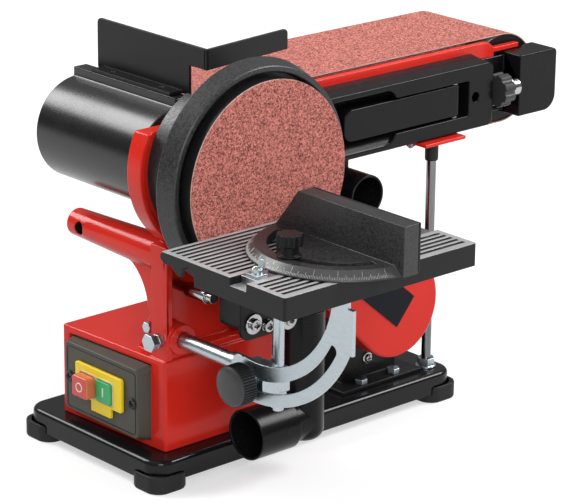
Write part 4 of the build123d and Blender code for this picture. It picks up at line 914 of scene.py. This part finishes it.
def close_tree(tree, inputs, geometry):
    """Every tree ends alike: real mesh in place of instances, then its finish."""
    real = step(tree, "GeometryNodeRealizeInstances", {"Geometry": geometry})
    painted = {"Geometry": real.outputs[0], "Material": inputs["Finish"]}
    step(tree, "NodeGroupOutput", {"Geometry": step(tree, "GeometryNodeSetMaterial", painted).outputs[0]})
    print("tree", tree.name, "with", len(tree.nodes), "nodes")
    return tree


def grow(name, tree, place, points=(), **values):
    """A plain mesh piece that a tree makes, moved to its place."""
    mesh = bpy.data.meshes.new(name)
    mesh.from_pydata(points, [], [])
    piece = bpy.data.objects.new(name, mesh)
    bpy.context.scene.collection.objects.link(piece)
    rule = piece.modifiers.new(tree.name, "NODES")
    rule.node_group = tree
    for socket in tree.interface.items_tree:
        if socket.in_out == "INPUT" and socket.name in values:
            rule[socket.identifier] = values[socket.name]
    settle(piece)
    piece.data.transform(place)
    piece.data.shade_smooth()
    piece.data.set_sharp_from_angle(angle=hard_angle)
    return piece


def facing(way, at):
    """A place whose own Z looks along a direction."""
    return Matrix.Translation(at) @ Vector(way).to_track_quat("Z", "Y").to_matrix().to_4x4()


# %% [markdown]
# ## Ridges round a rim
# The lock knob's grip has fine ridges all round. An Array modifier with an empty to turn it would do,
# but a circle of points with one thin cylinder on each says the same in a few nodes, and the number of
# ridges stays an input.

# %% Ridges round a rim
ridge_sides = 8


def rim_ridges():
    tree, inputs = geometry_tree(
        "rim_ridges", Radius="Float", Ridges="Int", Ridge_Radius="Float", Length="Float"
    )
    rim = step(tree, "GeometryNodeMeshCircle", {"Vertices": inputs["Ridges"], "Radius": inputs["Radius"]})
    size = {"Vertices": ridge_sides, "Radius": inputs["Ridge_Radius"], "Depth": inputs["Length"]}
    ridge = step(tree, "GeometryNodeMeshCylinder", size)
    both = {"Points": rim.outputs[0], "Instance": ridge.outputs[0]}
    return close_tree(tree, inputs, step(tree, "GeometryNodeInstanceOnPoints", both).outputs[0])


ridges_tree = rim_ridges()


# %% [markdown]
# ## Marks along an arc
# A protractor's marks lie at equal angles on a sloping rim. Painted on, they would blur close up, so
# each is a thin block on a point of an arc, turned so that its length runs down the slope.

# %% Marks along an arc
def scale_marks():
    tree, inputs = geometry_tree(
        "scale_marks", Radius="Float", Start="Float", Sweep="Float", Marks="Int", Size="Vector",
        Fall="Float",
    )
    sweep = {
        "Resolution": inputs["Marks"],
        "Radius": inputs["Radius"],
        "Start Angle": inputs["Start"],
        "Sweep Angle": inputs["Sweep"],
    }
    arc = step(tree, "GeometryNodeCurveArc", sweep)
    drop = {0: inputs["Radius"], 1: inputs["Fall"]}
    fall = step(tree, "ShaderNodeMath", drop, operation="MULTIPLY")
    down = step(tree, "ShaderNodeCombineXYZ", {2: fall.outputs[0]})
    spot = step(tree, "GeometryNodeInputPosition")
    slope = {0: spot.outputs[0], 1: down.outputs[0]}
    outward = step(tree, "ShaderNodeVectorMath", slope, operation="SUBTRACT")
    turn = step(tree, "FunctionNodeAlignRotationToVector", {"Vector": outward.outputs[0]}, axis="X")
    mark = step(tree, "GeometryNodeMeshCube", {"Size": inputs["Size"]})
    both = {"Points": arc.outputs[0], "Instance": mark.outputs[0], "Rotation": turn.outputs[0]}
    return close_tree(tree, inputs, step(tree, "GeometryNodeInstanceOnPoints", both).outputs[0])


marks_tree = scale_marks()


# %% [markdown]
# ## A bead along a rounded outline
# Moulded lines and rims have one small section that runs round a shape with soft corners. A curve with
# filleted corners and a round profile makes all of them, whatever their size.

# %% A bead along a rounded outline
bead_sides = 8


def bead_line():
    tree, inputs = geometry_tree(
        "bead_line", Length="Float", Height="Float", Corner="Float", Thickness="Float"
    )
    sides = {"Width": inputs["Length"], "Height": inputs["Height"]}
    outline = step(tree, "GeometryNodeCurvePrimitiveQuadrilateral", sides)
    corners = {
        "Curve": outline.outputs[0],
        "Radius": inputs["Corner"],
        "Count": bead_sides,
        "Limit Radius": True,
    }
    soft = step(tree, "GeometryNodeFilletCurve", corners, mode="POLY")
    round_wire = {"Resolution": bead_sides, "Radius": inputs["Thickness"]}
    section = step(tree, "GeometryNodeCurvePrimitiveCircle", round_wire)
    both = {"Curve": soft.outputs[0], "Profile Curve": section.outputs[0]}
    return close_tree(tree, inputs, step(tree, "GeometryNodeCurveToMesh", both).outputs[0])


bead_tree = bead_line()


# %% [markdown]
# ## Crosses that cut a screw's recess
# The recess of a cross-head screw is two bars at right angles. The tree sets such a pair on each point
# that it is given and turns them all one way, and the result is used as a cutter.

# %% Crosses that cut a screw's recess
def cross_cutters():
    tree, inputs = geometry_tree(
        "cross_cutters", Span="Float", Width="Float", Depth="Float", Facing="Vector"
    )
    bars = []
    for first, second in (("Span", "Width"), ("Width", "Span")):
        sides = {0: inputs[first], 1: inputs[second], 2: inputs["Depth"]}
        size = step(tree, "ShaderNodeCombineXYZ", sides)
        bars.append(step(tree, "GeometryNodeMeshCube", {"Size": size.outputs[0]}).outputs[0])
    cross = step(tree, "GeometryNodeJoinGeometry")
    for bar in bars:
        tree.links.new(bar, cross.inputs[0])
    turn = step(tree, "FunctionNodeAlignRotationToVector", {"Vector": inputs["Facing"]}, axis="Z")
    both = {"Points": inputs["Geometry"], "Instance": cross.outputs[0], "Rotation": turn.outputs[0]}
    return close_tree(tree, inputs, step(tree, "GeometryNodeInstanceOnPoints", both).outputs[0])


crosses_tree = cross_cutters()

# %% [markdown]
# ## Cross-head screws
# The chute, the switch plate and the work stop are held by cross-head screws. Their solids are plain
# round heads, several to a node. The lumps of each node are found by walking along its edges, a cross
# is set on the face of each head, and a Boolean cuts the crosses out, so that the recess is real.

# %% Screws
cross_span = 5.0 * mm
cross_width = 1.2 * mm
cross_depth = 2.4 * mm
longest_head = 10 * mm
screw_sets = {
    "guard_screws": (chrome, (0.0, -1.0, 0.0)),
    "switch_screws": (black_oxide, (-1.0, 0.0, 0.0)),
    "stop_bolts": (black_oxide, (0.0, 0.0, 1.0)),
}


def lumps_of(node):
    """The separate lumps of a solid, each as its lowest and highest corner."""
    shape = clean_copy(node)
    left = set(shape.verts)
    boxes = []
    while left:
        lump = [left.pop()]
        for vert in lump:
            for edge in vert.link_edges:
                other = edge.other_vert(vert)
                if other in left:
                    left.remove(other)
                    lump.append(other)
        corners = [[f(v.co[i] for v in lump) for i in range(3)] for f in (min, max)]
        boxes.append((Vector(corners[0]), Vector(corners[1])))
    shape.free()
    return boxes


def cut_crosses(piece, heads, way):
    """Cuts a cross into each head, on its face that looks along a direction."""
    size = {"Span": cross_span, "Width": cross_width, "Depth": cross_depth}
    tool = grow("cross_tool", crosses_tree, Matrix(), heads, Facing=way, Finish=black_oxide, **size)
    combine(piece, tool, "DIFFERENCE", True)


def dress_screws(node, material, way):
    """Rounds a node's screws and cuts a cross into each lump that is no longer than a head."""
    axis = max(range(3), key=lambda i: abs(way[i]))
    heads = []
    for low, high in lumps_of(node):
        if high[axis] - low[axis] < longest_head:
            face = (low + high) / 2
            face[axis] = low[axis] if way[axis] < 0 else high[axis]
            heads.append(face)
    piece = round_edges(bare(node, material), edge=0.5)
    cut_crosses(piece, heads, way)
    adopt(piece, node)
    print(node, "with", len(heads), "cross recesses")


for node, (material, way) in screw_sets.items():
    dress_screws(node, material, way)

# %% [markdown]
# ## Switch
# The switch plate has a fine moulded line near its edge. Each button looks out of a clear plastic rim,
# the red one carries the usual ring for off and the green one a bar for on. The line, the rims and the
# ring are all one bead along a rounded outline, and only the bar is a small block.

# %% Switch details
line_inset = 6.0 * mm
line_corner = 3.0 * mm
line_bead = 0.35 * mm
rim_gap = 0.4 * mm
rim_corner = 2.5 * mm
rim_bead = 0.8 * mm
mark_size = 7.0 * mm
mark_bead = 0.45 * mm
bar_size = (0.5 * mm, 1.3 * mm, 7.0 * mm)


def upright_outline(x, at):
    """A place for an outline that stands in Y and Z."""
    turn = Matrix(((0, 0, 1), (1, 0, 0), (0, 1, 0))).to_4x4()
    return Matrix.Translation((x, at.y, at.z)) @ turn


def plate_line():
    low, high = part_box("switch_plate")
    size = {"Length": high.y - low.y - 2 * line_inset, "Height": high.z - low.z - 2 * line_inset}
    place = upright_outline(low.x, (low + high) / 2)
    bead = {"Corner": line_corner, "Thickness": line_bead, "Finish": black_moulding}
    line = grow("switch_line", bead_tree, place, **bead, **size)
    add_on(line, body_of["switch_plate"])


def button_rim(node):
    low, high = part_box(node)
    edge = 2 * rim_bead + rim_gap
    size = {"Length": high.y - low.y + edge, "Height": high.z - low.z + edge}
    place = upright_outline(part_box("switch_frame")[0].x, (low + high) / 2)
    bead = {"Corner": rim_corner, "Thickness": rim_bead, "Finish": clear_rim}
    rim = grow(node + "_rim", bead_tree, place, **bead, **size)
    add_on(rim, body_of["switch_frame"])


def off_ring():
    low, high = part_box("red_button")
    place = upright_outline(low.x, (low + high) / 2)
    size = {"Length": mark_size, "Height": mark_size, "Corner": mark_size / 2, "Thickness": mark_bead}
    ring = grow("off_ring", bead_tree, place, Finish=pale_print, **size)
    add_on(ring, body_of["red_button"])


def on_bar():
    middle = middle_of("green_button")
    middle.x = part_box("green_button")[0].x
    shape = bmesh.new()
    bmesh.ops.create_cube(shape, size=1.0)
    bmesh.ops.scale(shape, vec=bar_size, verts=shape.verts)
    bmesh.ops.translate(shape, vec=middle, verts=shape.verts)
    bar = round_edges(new_piece("on_bar", plain_mesh("on_bar", shape), pale_print), edge=0.15)
    add_on(bar, body_of["green_button"])


plate_line()
button_rim("red_button")
button_rim("green_button")
off_ring()
on_bar()
print("switch details made")

# %% [markdown]
# ## Turned knobs
# A knob is turned on a lathe or moulded in a round tool, so half of its outline says it all. The helper
# spins such an outline, given as distance along the axis and radius in millimetres. The fine ridges on
# the table's lock knob come from the ridge tree and lie round the turned body. The tracking knob keeps
# its solid's shape, takes two finishes and gets a bright turned ring.

# %% A helper for turned pieces
turn_sides = 72


def turned(name, outline, start, way, material, sides=turn_sides):
    """Spins an outline of (distance, radius) pairs in mm round an axis."""
    aim = facing(way, start)
    shape = bmesh.new()
    rings = []
    for distance, radius in outline:
        count = sides if radius else 1
        angles = [2 * math.pi * i / sides for i in range(count)]
        spots = [(radius * math.cos(a), radius * math.sin(a), distance) for a in angles]
        rings.append([shape.verts.new(aim @ (Vector(spot) * mm)) for spot in spots])
    for one, two in zip(rings, rings[1:]):
        for i in range(sides):
            near, far = i, (i + 1) % sides
            low_edge = [one[near % len(one)], one[far % len(one)]]
            high_edge = [two[far % len(two)], two[near % len(two)]]
            shape.faces.new(list(dict.fromkeys(low_edge + high_edge)))
    bmesh.ops.recalc_face_normals(shape, faces=shape.faces)
    piece = new_piece(name, plain_mesh(name, shape), material)
    piece.data.shade_smooth()
    piece.data.set_sharp_from_angle(angle=hard_angle)
    return piece


# %% Table lock knob
lock_ridges = 44
ridge_ring = 15.1 * mm
ridge_radius = 0.7 * mm
ridge_length = 11.6 * mm
ridge_middle = 9.8 * mm
lock_grip = [
    (0.0, 0), (0.1, 4.0), (0.4, 8.0), (1.0, 11.4), (1.9, 13.8), (2.9, 15.0), (3.8, 15.2),
    (16.0, 15.0), (16.8, 14.2), (17.0, 12.8), (17.0, 9.0), (17.5, 9.0), (17.5, 0),
]
lock_washer = 9.5
lock_washer_start = 17.5
lock_washer_end = 20.0
lock_bolt = 4.0


def lock_knob():
    low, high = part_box("lock_knob")
    middle = (low + high) / 2
    face = Vector((low.x, middle.y, middle.z))
    along = (1, 0, 0)
    adopt(turned("lock_knob_grip", lock_grip, face, along, grey_moulding), "lock_knob")
    end = (high.x - low.x) / mm
    bolt = [
        (lock_washer_start, 0), (lock_washer_start, lock_washer), (lock_washer_end, lock_washer),
        (lock_washer_end, lock_bolt), (end, lock_bolt), (end, 0),
    ]
    add_on(turned("lock_knob_bolt", bolt, face, along, bright_zinc), body_of["lock_knob"])
    band = facing(along, face + Vector((ridge_middle, 0, 0)))
    ring = {"Radius": ridge_ring, "Ridges": lock_ridges}
    size = {"Ridge_Radius": ridge_radius, "Length": ridge_length}
    ridges = grow("lock_knob_ridges", ridges_tree, band, Finish=black_moulding, **ring, **size)
    add_on(ridges, body_of["lock_knob"])
    print("lock knob", round(end, 1), "mm long,", lock_ridges, "ridges")


lock_knob()

# %% Tracking knob
grip_length = 12.0 * mm
ring_outline = [(12.0, 0), (12.0, 10.4), (12.4, 10.8), (13.8, 10.8), (14.2, 10.4), (14.2, 0)]


def tracking_knob():
    low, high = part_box("tracking_knob")
    middle = (low + high) / 2
    face = Vector((low.x, middle.y, middle.z))
    piece = bare("tracking_knob", chrome)
    grip = paint_faces(piece, grey_moulding, lambda at, way: at.x < low.x + grip_length + touching)
    adopt(round_edges(piece, edge=0.9, steps=3), "tracking_knob")
    ring = turned("tracking_ring", ring_outline, face, (1, 0, 0), bright_zinc)
    add_on(ring, body_of["tracking_knob"])
    print("tracking knob has", grip, "grip faces")


tracking_knob()

# %% [markdown]
# ## Drilled and folded pieces
# Two pieces need a cut of their own before their edges are rounded. The side housing has a small round
# hole beside the lever, which a turned tool drills with a Boolean. The work stop is folded from one
# sheet, so its free corners are rounded in the plane of the sheet.

# %% Side housing
hole_radius = 4.0
hole_lead = 16.1 * mm
drill_start = -1.0
drill_end = 8.0
drill_outline = [(drill_start, 0), (drill_start, hole_radius), (drill_end, hole_radius), (drill_end, 0)]


def in_mm(place):
    return [round(c / mm, 1) for c in place]


def dress_housing():
    lever_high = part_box("tension_lever")[1]
    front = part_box("side_housing")[0].y
    spot = Vector((lever_high.x + hole_lead, front, middle_of("tension_lever").z))
    piece = bare("side_housing", glossy_moulding)
    combine(piece, turned("drill", drill_outline, spot, (0, 1, 0), black_moulding), "DIFFERENCE")
    adopt(round_edges(piece, edge=1.0), "side_housing")
    print("hole at", in_mm(spot))


dress_housing()

# %% Work stop
stop_corner = 4.0 * mm
sheet_limit = 4.0 * mm


def dress_stop():
    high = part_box("work_stop")[1]
    shape = clean_copy("work_stop")

    def free_corner(edge):
        ends = [vert.co for vert in edge.verts]
        top = all(end.z > high.z - touching for end in ends)
        right = all(end.x > high.x - sheet_limit for end in ends)
        back = all(end.y > high.y - touching for end in ends)
        return top and (right or back) and edge.calc_length() < sheet_limit

    corners = [edge for edge in shape.edges if free_corner(edge)]
    bend = {"offset": stop_corner, "segments": 5, "profile": 0.5}
    bmesh.ops.bevel(shape, geom=corners, affect="EDGES", **bend)
    piece = new_piece("work_stop_skin", plain_mesh("work_stop_skin", shape), satin_enamel)
    adopt(round_edges(piece, edge=0.6, steps=3), "work_stop")
    print("work stop:", len(corners), "free corners rounded")


dress_stop()

# %% [markdown]
# ## Loose hardware
# A few bolts show on the machine without a solid of their own: the nut under the arm's rest lug, the
# screw on the motor's foot and the one that holds the mitre gauge's pointer. Each is a turned outline.
# The nut has six sides in place of seventy-two, which makes it a hexagon. The pointer also has a small
# tongue folded up from its plate.

# %% Nut and screw
nut_sides = 6
nut_from_cap = Vector((-12.2, 12.0)) * mm
motor_screw_left = 2.0 * mm
motor_screw_rise = 18.0 * mm
motor_screw_setback = 12.0 * mm
nut_outline = [
    (0.0, 0), (0.0, 3.7), (0.4, 4.1), (2.8, 4.1), (3.2, 3.7), (3.2, 2.1), (4.6, 2.1), (4.8, 1.8),
    (4.8, 0),
]
motor_screw_outline = [
    (0.0, 0), (0.0, 4.7), (0.3, 5.0), (1.0, 5.0), (1.2, 4.7), (1.2, 3.5), (2.2, 3.4), (3.0, 2.9),
    (3.3, 2.0), (3.3, 0),
]


def crossed_screw(name, outline, start, way, node):
    """A turned screw with a cross in its head, on the body of a solid that it holds."""
    screw = turned(name, outline, start, way, chrome)
    head_height = outline[-1][0] * mm
    cut_crosses(screw, [start + head_height * Vector(way)], way)
    add_on(screw, body_of[node])
    print(name, "at", in_mm(start))


def lug_nut():
    cap = middle_of("support_cap")
    lug_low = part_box("support_cap")[1].z
    nut_at = Vector((cap.x + nut_from_cap.x, cap.y + nut_from_cap.y, lug_low))
    nut = turned("lug_nut", nut_outline, nut_at, (0, 0, -1), bright_zinc, nut_sides)
    add_on(round_edges(nut, edge=0.25), body_of["arm_frame"])
    print("lug nut at", in_mm(nut_at))


def motor_screw():
    x = middle_of("motor_foot").x - motor_screw_left
    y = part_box("motor_plate")[1].y + motor_screw_setback
    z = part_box("motor_foot")[0].z + motor_screw_rise
    crossed_screw("motor_screw", motor_screw_outline, Vector((x, y, z)), (0.0, -1.0, 0.0), "motor_foot")


lug_nut()
motor_screw()

# %% Pointer's tongue and screw
pointer_screw_outline = [(0.0, 0), (0.0, 3.1), (0.7, 3.1), (1.4, 2.5), (1.8, 1.4), (1.8, 0)]
tongue_foot = (7.0, 3.4)
tongue_tip = (6.0, 2.4)
tongue_rise = 5.8
tongue_sink = 0.3
tongue_sheet = 1.0
pointer_screw_lead = 4.5 * mm


def pointer_tongue():
    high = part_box("mitre_pointer")[1]
    middle = middle_of("mitre_pointer").y
    shape = bmesh.new()
    rings = []
    for (setback, half), z in ((tongue_foot, -tongue_sink), (tongue_tip, tongue_rise)):
        near, far = -setback, tongue_sheet - setback
        sides = ((near, -half), (far, -half), (far, half), (near, half))
        corners = [Vector((high.x + x * mm, middle + y * mm, high.z + z * mm)) for x, y in sides]
        rings.append([shape.verts.new(corner) for corner in corners])
    base, tip = rings
    shape.faces.new(base[::-1])
    shape.faces.new(tip)
    for i in range(4):
        shape.faces.new([base[i], base[(i + 1) % 4], tip[(i + 1) % 4], tip[i]])
    tongue = new_piece("pointer_tongue", plain_mesh("pointer_tongue", shape), bright_zinc)
    add_on(round_edges(tongue, edge=0.3), body_of["mitre_pointer"])
    print("pointer's tongue stands", tongue_rise, "mm high")


def pointer_screw():
    low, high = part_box("mitre_pointer")
    start = Vector((low.x + pointer_screw_lead, (low.y + high.y) / 2, high.z))
    crossed_screw("pointer_screw", pointer_screw_outline, start, (0.0, 0.0, 1.0), "mitre_pointer")


pointer_tongue()
pointer_screw()

# %% [markdown]
# ## Mitre scale
# The protractor's sloping rim carries a fine mark every degree, a longer one every five and the longest
# every fifteen. The arc tree lays them on the slope, pointing away from the pivot, with their outer
# ends in one line. The chart gives how many marks there are, how long each is and how wide.

# %% Mitre scale marks
rim_edge = 67.6 * mm
rim_rise = 69.36 * mm
rim_fall = 1.0
rim_slope = math.radians(45)
mark_depth = 0.12 * mm
scale_start = math.radians(105)
scale_sweep = math.radians(150)
scale_chart = {
    "mitre_degree_marks": (151, 2.2 * mm, 0.28 * mm),
    "mitre_five_marks": (31, 4.0 * mm, 0.4 * mm),
    "mitre_fifteen_marks": (11, 6.6 * mm, 0.5 * mm),
}


def mitre_scale(name, marks, length, width):
    pivot = Vector(joints["mitre_swivel"]["pos_m"])
    radius = rim_edge - length * math.cos(rim_slope) / 2
    place = Matrix.Translation(pivot + Vector((0, 0, rim_rise - radius)))
    size = {"Size": (length, width, mark_depth), "Marks": marks, "Fall": rim_fall}
    arc = {"Radius": radius, "Start": scale_start, "Sweep": scale_sweep}
    scale = grow(name, marks_tree, place, Finish=pale_print, **size, **arc)
    add_on(scale, body_of["mitre_head"])
    print(name, "has", marks, "marks")


for name, (marks, length, width) in scale_chart.items():
    mitre_scale(name, marks, length, width)

# %% [markdown]
# ## Pieces out of sight
# Shafts, bearings and pulleys sit inside covers, so their solids stay as they are and only take a
# finish. A solid's material goes on its object's slot, which leaves its mesh alone.

# %% Finish the hidden solids
hidden_finish = {
    "toothed_belt": foot_rubber,
    "drive_drum": machined_aluminium,
}
for node, solid in solids.items():
    for slot in solid.material_slots:
        slot.link = "OBJECT"
        slot.material = hidden_finish.get(node, turned_steel)
print("solids left as they are:", sorted(n for n, s in solids.items() if not s.hide_render))

# %% [markdown]
# ## Finish
# The view layer is updated once more at the end, so that every piece stands where its body puts it.

# %% Finish
bpy.context.view_layer.update()
